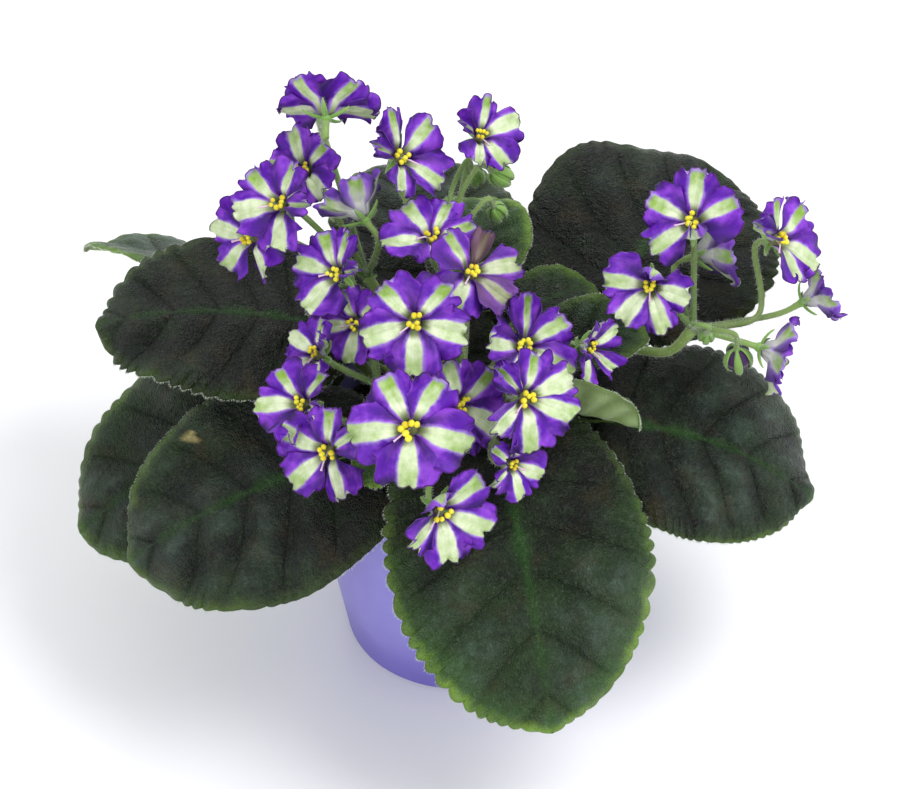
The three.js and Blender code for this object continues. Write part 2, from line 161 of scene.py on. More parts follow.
def addSheet(shape, grid, thickness, flat, marks, tone, skins, flipped=False):
    # a closed thin sheet about a grid of points; skins are the slots of its face, underside and rim
    rows, columns = grid.shape[:2]
    half = (np.broadcast_to(thickness, (rows, columns)) / 2)[..., None]
    layers = [np.broadcast_to(layer, (rows, columns, 2)) for layer in (flat, marks, tone)]
    if flipped:
        grid, half, *layers = (values[:, ::-1] for values in (grid, half, *layers))
    normals = unit(np.cross(np.gradient(grid, axis=1), np.gradient(grid, axis=0)))
    points = np.concatenate([(grid + normals * half).reshape(-1, 3), (grid - normals * half).reshape(-1, 3)])
    face = gridFaces(rows, columns)
    count = rows * columns
    index = np.arange(count).reshape(rows, columns)
    loop = np.concatenate([index[0, :-1], index[:-1, -1], index[-1, :0:-1], index[:0:-1, 0]])
    after = np.roll(loop, -1)
    rim = np.stack([loop, loop + count, after + count, after], -1)
    skin = np.repeat(skins, (len(face), len(face), len(rim)))
    both = [np.concatenate([layer.reshape(-1, 2)] * 2) for layer in layers]
    addPart(shape, points, np.concatenate([face, face[:, ::-1] + count, rim]), skin, *both)
    return normals[:, ::-1] if flipped else normals


def ringFrames(path):
    tangents = unit(np.gradient(path, axis=0))
    side = np.zeros_like(path)
    guess = np.array([0.3, 0.2, 1.0]) if abs(tangents[0][2]) < 0.9 else np.array([1.0, 0.2, 0.0])
    last = unit(np.cross(tangents[0], guess))
    for i, tangent in enumerate(tangents):
        last = unit(last - tangent * np.dot(last, tangent))
        side[i] = last
    return side, np.cross(tangents, side)


def addTube(shape, path, radii, sides, skin=0, tone=(0, 0), flatten=1.0):
    # a closed tube along a path
    radii = np.broadcast_to(radii, len(path))
    side, other = ringFrames(path)
    angles = turns(sides)
    ring = side[:, None] * np.cos(angles)[:, None] + other[:, None] * np.sin(angles)[:, None] * flatten
    points = path[:, None] + ring * radii[:, None, None]
    count = len(path) * sides
    around = np.arange(sides)
    faces = np.concatenate([
        gridFaces(len(path), sides, wrapped=True),
        fanFaces(count, around, True),
        fanFaces(count + 1, around + count - sides),
    ])
    steps = lengthsAlong(path)
    flat = pair(angles[None] / (2 * pi), steps[:, None] / 100).reshape(-1, 2)
    share = np.broadcast_to((steps / steps[-1])[:, None], (len(path), sides)).reshape(-1)
    marks = pair(np.append(share, [0, 1]), 0.0)
    points = np.vstack([points.reshape(-1, 3), path[0], path[-1]])
    addPart(shape, points, faces, skin, np.vstack([flat, flat[:1], flat[-1:]]), marks, tone)


def addBlob(shape, centre, axes, radii, skin=0, tone=(0, 0), rows=7, sides=9):
    # an egg with its axes along the rows of a 3x3 frame
    angles = np.linspace(0, pi, rows + 2)[1:-1]
    local = np.stack([
        np.sin(angles)[:, None] * np.cos(turns(sides))[None],
        np.sin(angles)[:, None] * np.sin(turns(sides))[None],
        np.repeat(np.cos(angles)[:, None], sides, 1),
    ], -1).reshape(-1, 3)
    local = np.vstack([local, [0, 0, 1], [0, 0, -1]])
    count = rows * sides
    around = np.arange(sides)
    faces = np.concatenate([
        gridFaces(rows, sides, wrapped=True)[:, ::-1],
        fanFaces(count, around),
        fanFaces(count + 1, around + count - sides, True),
    ])
    marks = pair(local[:, 2] * 0.5 + 0.5, 0.0)
    addPart(shape, centre + (local * radii) @ axes, faces, skin, local[:, :2] * 0.5 + 0.5, marks, tone)


def addHairs(shape, roots, directions, lengths, radius, skin, rng, droop=0.25):
    # fine tapering hairs, each a closed three-sided spike with a bend in it
    directions = unit(directions + rng.normal(0, 0.22, directions.shape))
    lengths = np.broadcast_to(lengths, len(roots))[:, None] * rng.uniform(0.65, 1.15, (len(roots), 1))
    helper = np.where(np.abs(directions[:, 2:3]) < 0.9, [[0.0, 0.0, 1.0]], [[1.0, 0.0, 0.0]])
    side = unit(np.cross(directions, helper))
    other = np.cross(directions, side)
    rings = []
    for share, width in ((0.0, 1.0), (0.55, 0.7)):
        centre = roots + directions * lengths * share - [[0, 0, 1]] * lengths * droop * share ** 2
        for angle in turns(3):
            rings.append(centre + (side * cos(angle) + other * sin(angle)) * radius * width)
    tip = roots + directions * lengths - [[0, 0, 1]] * lengths * droop
    start = np.arange(len(roots))[:, None, None] * 7
    pattern = np.array([
        [0, 1, 4, 3], [1, 2, 5, 4], [2, 0, 3, 5],
        [3, 4, 6, -1], [4, 5, 6, -1], [5, 3, 6, -1], [2, 1, 0, -1],
    ])
    faces = np.where(pattern[None] < 0, -1, pattern[None] + start).reshape(-1, 4)
    addPart(shape, np.stack(rings + [tip], 1), faces, skin)


def buildPiece(name, shape, skins, nodes):
    keys = ("points", "faces", "skins", "layers")
    points, faces, skin, layers = (np.concatenate(shape[key]) for key in keys)
    loops = faces[faces >= 0]
    starts = np.append(0, np.cumsum((faces >= 0).sum(1))[:-1])
    mesh = bpy.data.meshes.new(name)
    mesh.vertices.add(len(points))
    mesh.loops.add(len(loops))
    mesh.polygons.add(len(faces))
    mesh.vertices.foreach_set("co", (points * metresPerMm).astype(np.float32).ravel())
    mesh.loops.foreach_set("vertex_index", loops.astype(np.int32))
    mesh.polygons.foreach_set("loop_start", starts.astype(np.int32))
    for material in skins:
        mesh.materials.append(material)
    mesh.polygons.foreach_set("material_index", skin.astype(np.int32))
    for i, layer in enumerate(layerNames):
        uv = mesh.uv_layers.new(name=layer)
        uv.data.foreach_set("uv", layers[loops, 2 * i:2 * i + 2].astype(np.float32).ravel())
    mesh.update(calc_edges=True)
    mesh.validate()
    mesh.shade_smooth()
    piece = bpy.data.objects.new(name, mesh)
    bpy.context.collection.objects.link(piece)
    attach(piece, "root")
    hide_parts(*nodes)


# shader helpers
class Value:
    # what a shader node puts out, so that its sums read as plain arithmetic
    def __init__(self, socket):
        self.socket = socket
        self.tree = socket.id_data

    def __add__(self, other):
        return maths("ADD", self, other)

    def __radd__(self, other):
        return maths("ADD", other, self)

    def __sub__(self, other):
        return maths("SUBTRACT", self, other)

    def __rsub__(self, other):
        return maths("SUBTRACT", other, self)

    def __mul__(self, other):
        return maths("MULTIPLY", self, other)

    def __abs__(self):
        return maths("ABSOLUTE", self)


def feed(socket, value):
    if isinstance(value, Value):
        value.tree.links.new(value.socket, socket)
    else:
        socket.default_value = value


def node(tree, kind, *values, settings=(), **named):
    # values go to the node's first inputs, in their order, and named ones to the inputs of those names
    made = tree.nodes.new(kind)
    for key, value in dict(settings).items():
        setattr(made, key, value)
    for socket, value in zip(made.inputs, values):
        feed(socket, value)
    for key, value in named.items():
        feed(made.inputs[key], value)
    return [Value(socket) for socket in made.outputs]


def maths(operation, a, b=0.0):
    tree = (a if isinstance(a, Value) else b).tree
    return node(tree, "ShaderNodeMath", a, b, settings={"operation": operation})[0]


def clamped(value):
    value.socket.node.use_clamp = True
    return value


def mix(share, a, b):
    made = share.tree.nodes.new("ShaderNodeMix")
    made.data_type = "RGBA"
    for place, value in ((0, share), (6, a), (7, b)):
        feed(made.inputs[place], value)
    return Value(made.outputs[2])


def layered(colour, *layers):
    # paints each (share, colour) over what is there
    for share, over in layers:
        colour = mix(share, colour, over)
    return colour


def stepUp(value, low, high):
    kind = {"interpolation_type": "SMOOTHSTEP"}
    return node(value.tree, "ShaderNodeMapRange", value, low, high, settings=kind)[0]


def noise(vector, scale, detail=3.0, rough=0.55):
    look = {"Scale": scale, "Detail": detail, "Roughness": rough}
    return node(vector.tree, "ShaderNodeTexNoise", Vector=vector, **look)[0]


def cracks(vector, scale, feature="DISTANCE_TO_EDGE"):
    kind = {"feature": feature}
    return node(vector.tree, "ShaderNodeTexVoronoi", settings=kind, Vector=vector, Scale=scale)[0]


def stretched(vector, scale):
    return node(vector.tree, "ShaderNodeMapping", Vector=vector, Scale=scale)[0]


def uvMap(tree, name):
    return node(tree, "ShaderNodeUVMap", settings={"uv_map": name})[0]


def uvPair(tree, name):
    return node(tree, "ShaderNodeSeparateXYZ", uvMap(tree, name))[:2]


def objectPlace(tree):
    made = tree.nodes.new("ShaderNodeTexCoord")
    return Value(made.outputs["Object"])


def newGroup(name, inputs, outputs):
    # inputs give their default, or None for a vector; all that a group puts out is plain numbers
    tree = bpy.data.node_groups.new(name, "ShaderNodeTree")
    for label, value in inputs.items():
        kind = "NodeSocketVector" if value is None else "NodeSocketFloat"
        socket = tree.interface.new_socket(name=label, in_out="INPUT", socket_type=kind)
        if value is not None:
            socket.default_value = value
    for label in outputs:
        tree.interface.new_socket(name=label, in_out="OUTPUT", socket_type="NodeSocketFloat")
    inside = tree.nodes.new("NodeGroupInput")
    out = tree.nodes.new("NodeGroupOutput")
    return tree, [Value(socket) for socket in inside.outputs[:len(inputs)]], out.inputs


def useGroup(tree, group, *values):
    return node(tree, "ShaderNodeGroup", *values, settings={"node_tree": group})


def rgb(red, green, blue):
    # a colour given as it looks on screen, 0 to 255
    def linear(channel):
        c = channel / 255
        return c / 12.92 if c <= 0.04045 else ((c + 0.055) / 1.055) ** 2.4
    return (linear(red), linear(green), linear(blue), 1.0)


shaderSockets = {
    "roughness": "Roughness", "sheen": "Sheen Weight", "sheenRoughness": "Sheen Roughness",
    "sheenTint": "Sheen Tint", "specular": "Specular IOR Level",
}


def newMaterial(name, **finish):
    material = bpy.data.materials.new(name)
    material.use_nodes = True
    shader = next(n for n in material.node_tree.nodes if n.type == "BSDF_PRINCIPLED")
    for key, value in finish.items():
        shader.inputs[shaderSockets[key]].default_value = value
    return material, material.node_tree, shader


def paint(shader, colour, height=None, distance=0.0, strength=1.0):
    feed(shader.inputs["Base Color"], colour)
    if height:
        bump = node(height.tree, "ShaderNodeBump", Height=height, Distance=distance, Strength=strength)[0]
        feed(shader.inputs["Normal"], bump)


# uneven colour and fine grain, used by every living surface
def makeTissueGroup():
    inputs = {"Vector": None, "Scale": 400.0}
    tree, (vector, scale), results = newGroup("livingTissue", inputs, ("Blotches", "Cells"))
    feed(results[0], noise(vector, scale * 0.12, 4.0))
    feed(results[1], noise(vector, scale, 2.0, 0.6))
    return tree


tissueGroup = makeTissueGroup()


def tissue(tree, scale):
    return useGroup(tree, tissueGroup, objectPlace(tree), scale)


# leaf materials
leafLook = {
    "deep": rgb(11, 14, 8), "freshAndLit": rgb(56, 88, 40), "bronze": rgb(62, 50, 28), "margin": rgb(118, 154, 58),
    "creaseShade": rgb(10, 18, 8), "vein": rgb(52, 112, 32), "paintedSheen": rgb(100, 126, 114), "spot": rgb(150, 140, 92),
    "underside": rgb(122, 146, 84), "undersideDark": rgb(86, 108, 52), "undersideVein": rgb(176, 200, 146),
    "sheenTint": rgb(165, 196, 182), "roughness": 0.36, "sheen": 0.06,
}


def makeLeafFace():
    look = leafLook
    material, tree, shader = newMaterial(
        "leafVelvet", roughness=look["roughness"], sheen=look["sheen"], sheenRoughness=0.32,
        sheenTint=look["sheenTint"], specular=0.33)
    flat = uvMap(tree, "flat")
    vein, edge = uvPair(tree, "marks")
    # tone.x is how light the green is, with painted shade toward the crown; tone.y is the painted sheen, or the
    # dry spot where it is negative
    freshAndLit, bloom = uvPair(tree, "tone")
    mottle = noise(flat, 42.0, 6.0, 0.68)
    patch = noise(flat, 6.0, 4.0)
    cloud = noise(flat, 13.0, 4.0)
    share = freshAndLit * (0.45 + stepUp(edge, 1.3, 0.2) * 0.75) + (patch - 0.5) * 0.9
    share = clamped(share + (mottle - 0.5) * 0.5)
    # the painted sheen lies in broken patches, and the light margin fades in and out
    broken = (0.2 + stepUp(cloud, 0.38, 0.62) * 0.8) * (0.45 + mottle)
    near = stepUp(edge + (cloud - 0.5) * 0.7, 0.42, -0.02)
    patchy = 0.45 + stepUp(noise(flat, 4.0, 2.0), 0.36, 0.6) * 0.55
    colour = layered(
        look["deep"],
        (share, look["freshAndLit"]),
        (stepUp(noise(flat, 8.0, 3.0), 0.5, 0.7) * 0.38, look["bronze"]),
        # painted shade in the creases beside the side veins
        (clamped(vein * -0.36), look["creaseShade"]),
        (clamped(vein * 0.55), look["vein"]),
        # painted sheen: grey-blue patches on the raised parts of the blade
        (clamped(bloom * broken * 0.55), look["paintedSheen"]),
        (clamped(near * ((0.08 + freshAndLit * 1.25) * patchy)), look["margin"]),
        (clamped(bloom * -1.0), look["spot"]),
    )
    paint(shader, colour, cracks(flat, 125.0) * 0.9 + cracks(flat, 46.0) * 0.9 + mottle * 0.6, 0.0016, 0.9)
    return material


def makeLeafUnder():
    look = leafLook
    material, tree, shader = newMaterial("leafUnderside", roughness=0.62, sheen=0.12, sheenRoughness=0.5)
    raised = abs(uvPair(tree, "marks")[0])
    blotches, cells = tissue(tree, 380.0)
    colour = mix(stepUp(blotches, 0.3, 0.7), look["undersideDark"], look["underside"])
    paint(shader, mix(raised * 0.5, colour, look["undersideVein"]), cells + raised * 0.8, 0.0005, 0.6)
    return material


stemLook = {
    "foot": rgb(84, 118, 52), "end": rgb(138, 172, 88), "patch": rgb(172, 196, 124), "red": rgb(96, 78, 48),
    "sepal": rgb(88, 142, 48), "sepalLight": rgb(132, 178, 76), "sepalTip": rgb(150, 184, 96),
    "hair": (rgb(196, 214, 178), rgb(236, 242, 228)),
}


def makeStemMaterial():
    look = stemLook
    material, tree, shader = newMaterial("stemGreen", roughness=0.5, sheen=0.5, sheenRoughness=0.4)
    blotches, cells = tissue(tree, 500.0)
    colour = mix(uvPair(tree, "marks")[0], look["foot"], look["end"])
    colour = mix(stepUp(blotches, 0.45, 0.75) * 0.4, colour, look["patch"])
    colour = mix(uvPair(tree, "tone")[0], colour, look["red"])
    paint(shader, colour, cells + noise(uvMap(tree, "flat"), 90.0, 2.0), 0.0003, 0.5)
    return material


def makeSepalMaterial():
    look = stemLook
    material, tree, shader = newMaterial("sepalGreen", roughness=0.5, sheen=0.4)
    blotches, cells = tissue(tree, 700.0)
    colour = mix(blotches, look["sepal"], look["sepalLight"])
    paint(shader, mix(uvPair(tree, "marks")[0] * 0.5, colour, look["sepalTip"]), cells, 0.0003, 0.5)
    return material


# petal materials
petalLook = {
    "violet": rgb(84, 6, 160), "deep": rgb(34, 0, 78), "lilac": rgb(150, 70, 216), "halo": rgb(190, 158, 234),
    "white": rgb(222, 232, 200), "green": rgb(128, 168, 54), "bandVein": rgb(160, 180, 108),
    "bandShade": rgb(120, 140, 84), "throat": rgb(92, 110, 38), "wilted": rgb(104, 78, 78),
    "back": rgb(214, 204, 232), "rims": (rgb(56, 6, 80), rgb(120, 60, 190)),
    "pollen": rgb(206, 180, 14), "pollenLight": rgb(248, 238, 60), "style": rgb(206, 200, 190),
    "styleTip": rgb(226, 186, 214),
}


# marks.x is the place across a lobe (0.5 on its midline), marks.y the place along it;
# tone.x is how green the stripe is and tone.y how wilted the lobe is, or where it is negative the painted shade in
# its hollows
def makeStripeGroup():
    inputs = {"Flat": None, "Across": 0.5, "Along": 0.5, "Green": 0.5}
    tree, (flat, across, along, green), results = newGroup("petalStripe", inputs, ("Stripe", "Halo", "CreaseShade"))
    uneven = noise(flat, 22.0, 3.0) - 0.5
    off = abs(across - 0.5)
    width = (0.03 + stepUp(along, 0.05, 0.6) * 0.052) * (1.2 - green * 0.55) + uneven * 0.035
    gap = off - width
    closing = stepUp(along, 0.86, 0.98) * stepUp(green, 0.55, 0.8)
    feed(results[0], stepUp(gap, 0.012, -0.01) * (1.0 - closing))
    feed(results[1], stepUp(gap, 0.034 + uneven * 0.1, -0.01))
    # painted shade: the lobe's sides darken toward the throat, between the stripes
    slant = maths("DIVIDE", off, maths("MAXIMUM", along, 0.05))
    feed(results[2], stepUp(slant, 0.17, 0.3) * stepUp(along, 1.0, 0.3))
    return tree


stripeGroup = makeStripeGroup()


def makePetalMaterial(name, back):
    look = petalLook
    material, tree, shader = newMaterial(name, sheen=0.06, sheenRoughness=0.35, specular=0.3)
    flat = uvMap(tree, "flat")
    across, along = uvPair(tree, "marks")
    greenness, wiltAndShade = uvPair(tree, "tone")
    wilt = clamped(wiltAndShade * 1.0)
    hollowShade = clamped(wiltAndShade * -1.0)
    if back:
        across = 0.5 + (across - 0.5) * 0.62  # the stripes are wider on the back
    stripe, halo, creaseShade = useGroup(tree, stripeGroup, flat, across, along, greenness)
    cells = tissue(tree, 900.0)[1]
    veins = noise(stretched(flat, (140.0, 8.0, 1.0)), 1.0, 2.0)
    light = stepUp(noise(flat, 14.0, 3.0), 0.4, 0.7) * 0.85
    cloudy = (noise(flat, 30.0, 3.0) - 0.44) * 1.5
    band = layered(
        look["white"],
        (clamped(stepUp(along, 0.2, 0.95) * greenness + cloudy), look["green"]),
        (stepUp(veins, 0.42, 0.7) * 0.22, look["bandVein"]),
        (hollowShade * 0.35, look["bandShade"]),
        (stepUp(along, 0.36, 0.16) * 0.85, look["throat"]),
    )
    paleBack = (0.06 + stepUp(along, 0.9, 0.2) * 0.4, look["back"])
    darkEdge = (stepUp(along, 0.965, 0.985) * 0.9, look["rims"][0])
    colour = layered(
        look["violet"],
        (maths("MAXIMUM", light, stepUp(along, 0.75, 1.0) * 0.25), look["lilac"]),
        # painted shade in the creases and hollows and under the neighbouring petal's edge
        (maths("MAXIMUM", creaseShade * 0.85, hollowShade * 0.9), look["deep"]),
        (stepUp(veins, 0.5, 0.75) * 0.25, look["deep"]),
        (halo * 0.58, look["halo"]),
        (stripe, band),
        (wilt, look["wilted"]),
        paleBack if back else darkEdge,
    )
    feed(shader.inputs["Roughness"], cells * 0.2 + 0.42)
    paint(shader, colour, veins * 0.8 + cells * 0.6, 0.0003, 0.55)
    return material


def makeAntherMaterial():
    look = petalLook
    material, tree, shader = newMaterial("pollenYellow", roughness=0.45)
    blotches, cells = tissue(tree, 1600.0)
    paint(shader, mix(stepUp(blotches, 0.3, 0.7), look["pollen"], look["pollenLight"]), cells, 0.0002, 0.6)
    return material


def makeStyleMaterial():
    material, tree, shader = newMaterial("stylePink", roughness=0.45)
    paint(shader, mix(uvPair(tree, "marks")[0], petalLook["style"], petalLook["styleTip"]))
    return material


# pot and soil materials
potLook = {
    "body": rgb(134, 126, 204), "shade": rgb(110, 97, 186), "light": rgb(156, 152, 226), "scratches": 0.14,
    "smoothest": 0.35,
}
soilLook = {
    "peat": rgb(30, 20, 14), "peatLight": rgb(86, 62, 44), "crack": rgb(20, 14, 10),
    "perlite": (rgb(190, 184, 170), rgb(232, 228, 216)),
}


def makePotMaterial():
    look = potLook
    material, tree, shader = newMaterial("potPlastic")
    place = objectPlace(tree)
    height = node(tree, "ShaderNodeSeparateXYZ", place)[2]
    cloud = noise(place, 40.0, 3.0)
    scratch = noise(stretched(place, (1.0, 1.0, 14.0)), 160.0, 2.0)
    colour = mix(stepUp(height, 0.03, 0.0), look["body"], look["shade"])
    colour = mix(stepUp(cloud, 0.4, 0.7) * 0.25, colour, look["light"])
    feed(shader.inputs["Roughness"], scratch * look["scratches"] + look["smoothest"])
    paint(shader, colour, cloud + scratch * 0.25, 0.0002, 0.5)
    return material


def makeSoilMaterial():
    look = soilLook
    material, tree, shader = newMaterial("pottingSoil", roughness=0.95)
    place = objectPlace(tree)
    grain = noise(place, 300.0, 8.0, 0.7)
    crumbs = cracks(place, 420.0, "F1")
    colour = mix(stepUp(grain, 0.35, 0.65), look["peat"], look["peatLight"])
    paint(shader, mix(crumbs * 0.5, colour, look["crack"]), grain + crumbs, 0.0012, 0.9)
    return material


def makeMottledMaterial(name, scale, shades, relief=0.0, strength=1.0, **finish):
    # a plain surface in two shades, for hairs, petal rims and perlite
    material, tree, shader = newMaterial(name, **finish)
    blotches, cells = tissue(tree, scale)
    paint(shader, mix(blotches, *shades), cells if relief else None, relief, strength)
    return material


stemGreen = makeStemMaterial()
plantHair = makeMottledMaterial("plantHair", 900.0, stemLook["hair"], roughness=0.45, sheen=0.3)
petalFace = makePetalMaterial("petalFace", False)
petalBack = makePetalMaterial("petalBack", True)
petalRim = makeMottledMaterial("petalRim", 700.0, petalLook["rims"], roughness=0.5)
perlite = makeMottledMaterial("perlite", 1200.0, soilLook["perlite"], 0.0004, 0.8, roughness=0.9)
leafSkins = (makeLeafFace(), makeLeafUnder(), plantHair, stemGreen)
bloomSkins = (petalFace, petalBack, petalRim, makeAntherMaterial(), makeStyleMaterial(), stemGreen)
stalkSkins = (stemGreen, makeSepalMaterial(), plantHair, petalFace)
print("materials made")


# pot
pot = {
    "height": 84.0, "footRadius": 36.0, "rimRadius": 50.0, "wall": 1.8, "floor": 2.6, "lipHeight": 9.0,
    "lipOut": 1.4, "lipSlope": 1.2, "lipWall": 2.6, "rounding": 1.1, "axisHole": 0.05, "sides": 144,
}
lipFoot = pot["height"] - pot["lipHeight"]
neckRadius = pot["rimRadius"] - pot["lipOut"]


def roundedProfile(corners, radius, steps=4):
    # rounds each inner corner of an open profile; its two ends stay where they are
    corners = np.asarray(corners, float)
    out = [corners[0]]
    for a, b, c in zip(corners, corners[1:], corners[2:]):
        r = min(radius, np.linalg.norm(a - b) * 0.45, np.linalg.norm(c - b) * 0.45)
        first, last = b + unit(a - b) * r, b + unit(c - b) * r
        for t in np.linspace(0, 1, steps):
            out.append((1 - t) ** 2 * first + 2 * t * (1 - t) * b + t ** 2 * last)
    return np.array([*out, corners[-1]])


def ringAt(radius, z, sides):
    x, y = radius * np.cos(turns(sides)), radius * np.sin(turns(sides))
    return np.stack([x, y, np.broadcast_to(z, sides)], -1)


def addRings(shape, rings):
    addPart(shape, np.array(rings), gridFaces(len(rings), len(rings[0]), wrapped=True))


def makePot():
    rim, wall, foot, hole = pot["rimRadius"], pot["wall"], pot["footRadius"], pot["axisHole"]
    corners = [
        (hole, 0), (foot, 0), (neckRadius, lipFoot), (rim, lipFoot + pot["lipSlope"]), (rim, pot["height"]),
        (rim - pot["lipWall"], pot["height"]), (neckRadius - wall, lipFoot), (foot - wall, pot["floor"]),
        (hole, pot["floor"]),
    ]
    shape = newShape()
    profile = roundedProfile(corners, pot["rounding"])
    addRings(shape, [ringAt(radius, z, pot["sides"]) for radius, z in profile])
    buildPiece("pot_shell", shape, (makePotMaterial(),), ("pot",))


# soil
soil = {
    "edge": 70.0, "middle": 74.0, "hole": 7.0, "holeDepth": 14.0, "gap": 0.4, "lumps": 1.3, "smallLumps": 0.5,
    "crumbs": 260, "perlite": 70, "rings": 30, "sides": 120,
}


def innerRadius(z):
    foot = pot["footRadius"] - pot["wall"]
    return foot + (neckRadius - pot["wall"] - foot) * (z - pot["floor"]) / (lipFoot - pot["floor"])


def soilTop(radius, angle):
    share = radius / innerRadius(soil["edge"])
    mound = soil["middle"] + (soil["edge"] - soil["middle"]) * share ** 2
    x, y = radius * np.cos(angle), radius * np.sin(angle)
    lumps = ripple(x * 0.35, y * 0.35, 3, 7) * soil["lumps"]
    lumps = lumps + ripple(x * 1.1, y * 1.1, 4, 7) * soil["smallLumps"]
    return mound + lumps * (1 - smooth(share, 0.92, 1.0))


def makeSoil():
    shape = newShape()
    sides, hole, foot = soil["sides"], soil["hole"], pot["floor"] + soil["gap"]
    outer = innerRadius(soil["edge"]) - soil["gap"]
    rings = [ringAt(pot["axisHole"], foot, sides), ringAt(innerRadius(foot) - soil["gap"], foot, sides)]
    for radius in np.linspace(outer, hole, soil["rings"]):
        rings.append(ringAt(radius, soilTop(radius, turns(sides)), sides))
    for radius in (hole, pot["axisHole"]):
        rings.append(ringAt(radius, soil["middle"] - soil["holeDepth"], sides))
    addRings(shape, rings)
    rng = np.random.default_rng(11)
    for i in range(soil["crumbs"] + soil["perlite"]):
        light = i >= soil["crumbs"]
        radius = outer * sqrt(rng.uniform(0.06, 0.94))
        angle = rng.uniform(0, 2 * pi)
        size = rng.uniform(0.6, 1.3) if light else rng.uniform(0.5, 1.5)
        height = float(soilTop(radius, angle)) + size * 0.2
        centre = [radius * cos(angle), radius * sin(angle), height]
        turned, _ = np.linalg.qr(rng.normal(0, 1, (3, 3)))
        addBlob(shape, centre, turned, size * rng.uniform(0.6, 1.1, 3), int(light), rows=4, sides=6)
    buildPiece("soil_mix", shape, (makeSoilMaterial(), perlite), ("soil",))


# leaves
leafBody = {
    "thickness": 1.2, "petioleRadius": 2.1, "toothDepth": 2.3, "toothPitch": 5.4, "firstRow": 36.0,
    "veins": 6.0, "grooveDepth": 0.6, "midribDepth": 0.9, "puff": 1.3, "edgeRoll": 0.9, "wander": 1.1,
    "swell": 2.7, "frill": 1.0, "columns": 15,
    "outlinePoints": 400, "outlineWindow": 47, "notchPoints": 60, "sidePoints": 160,
    "petioleRoot": 1.5, "petioleReach": 5.5, "petioleSides": 14,
    "hairLength": 0.85, "hairRadius": 0.045, "hairsPerMm": 6.0,
    "stemHairLength": 1.0, "stemHairRadius": 0.03, "stemHairsPerMm": 3.5,
    "downPerMm2": 0.3, "downLength": 0.65, "downRadius": 0.02,
}
crown = {
    "radius": 10.0, "foot": 58.0, "top": 93.0, "neck": 6.8, "sides": 40, "hairsPerMm": 30,
    "hearts": 3, "heartTurn": 2.4, "heartWidth": 5.5, "heartHeight": 9.0, "heartThickness": 0.6,
    "heartHairs": 90,
}


# base and tip are the ends of the blade's midrib and level is where the petiole leaves the crown. The next number
# is how light the green is, its own tone together with painted light and shade, and the one after it how strong
# the painted sheen on it. arch lifts the blade's middle, sweep bows it sideways, roll turns it, cup lifts its
# edges, wave ripples them and teeth deepens the scallops.
def leafAt(node, base, tip, width, level, freshAndLit, paintedSheen, **form):
    usual = {"arch": 2, "sweep": 0, "roll": 0, "cup": 0, "wave": 0.8, "teeth": 0.6, "margin": 1.0}
    ends = {"base": np.array(base, float), "tip": np.array(tip, float), "level": level}
    look = {"width": width, "pitch": leafBody["toothPitch"], "freshAndLit": freshAndLit, "paintedSheen": paintedSheen}
    return {"node": node, **usual, **ends, **look, **form}


leaves = [
    leafAt("leaf_front", (12, -30, 101), (28, -92, 42), 80, 89, 0.75, 0.8,
           arch=7, roll=2, cup=-3, wave=1.2, teeth=1),
    leafAt("leaf_front_left", (-29, -27, 96), (-101, -41, 63), 72, 84, 0.22, 0.7,
           arch=7, sweep=2, roll=-28, cup=-3, wave=1.2, spot=(-25, 47, 2.2)),
    leafAt("leaf_left_low", (-40.5, 0, 94.2), (-119, -17, 52), 68, 79, 0.3, 0.55,
           arch=7, roll=-28, cup=-2, wave=1, teeth=0.4),
    leafAt("leaf_left_high", (-42, 16, 109.7), (-113, 20, 106), 64, 82, 0.1, 0.6,
           arch=6, roll=-12, cup=2, wave=1.5, teeth=1.1),
    leafAt("leaf_far_left", (-54, 54, 92), (-121, 82, 88), 54, 84, 0.9, 1.5,
           arch=3, roll=30, cup=2, wave=1.5, teeth=0.35),
    leafAt("leaf_right", (41, -9, 92.5), (111, -14, 64), 68, 86, 0.3, 0.7,
           arch=8, roll=21, cup=-3, wave=1.2, teeth=0.5, pitch=3.4, margin=0.45),
    leafAt("leaf_right_low", (46, 11, 89.3), (94, 18, 64), 42, 79, 0.2, 0.4, arch=4, cup=-2, wave=1),
    leafAt("leaf_back_right", (45, 34, 105), (87, 80, 118), 86, 87, 0.05, 0.25,
           arch=4, roll=4, cup=2, wave=1.2, teeth=0.9),
    leafAt("leaf_back_right_low", (26, 41, 89), (54, 90, 80), 55, 79, 0.2, 0.4, arch=4, cup=-2, wave=1),
    leafAt("leaf_back", (-6, 40, 102), (-16, 106, 106), 62, 85, 0.3, 0.5, arch=5, wave=1.2),
    leafAt("leaf_back_left", (-4, 27, 86), (-28, 97, 82), 42, 79, 0.3, 0.5, arch=6, wave=1),
    leafAt("leaf_back_middle", (3, 39, 110), (11, 76, 113), 34, 91, 0.95, 0.9, arch=3, cup=3, wave=1),
    leafAt("leaf_young_back", (18, 22, 108), (43, 35, 110), 26, 91, 0.4, 0.4, cup=3),
    leafAt("leaf_young_right", (25, 0, 110), (58, 10, 113), 28, 91, 0.4, 0.4, arch=3, roll=10, cup=3),
    leafAt("leaf_young_left", (-20, 9, 106), (-46, 22, 115), 26, 91, 0.5, 0.4, cup=2),
    leafAt("leaf_young_front", (-15, -18, 104), (-27, -46, 100), 22, 91, 0.6, 0.4, cup=2),
    leafAt("leaf_curled", (23.5, -13, 101.2), (55, -23, 102.5), 35, 90, 0.5, 0.3, roll=-52, cup=8),
]


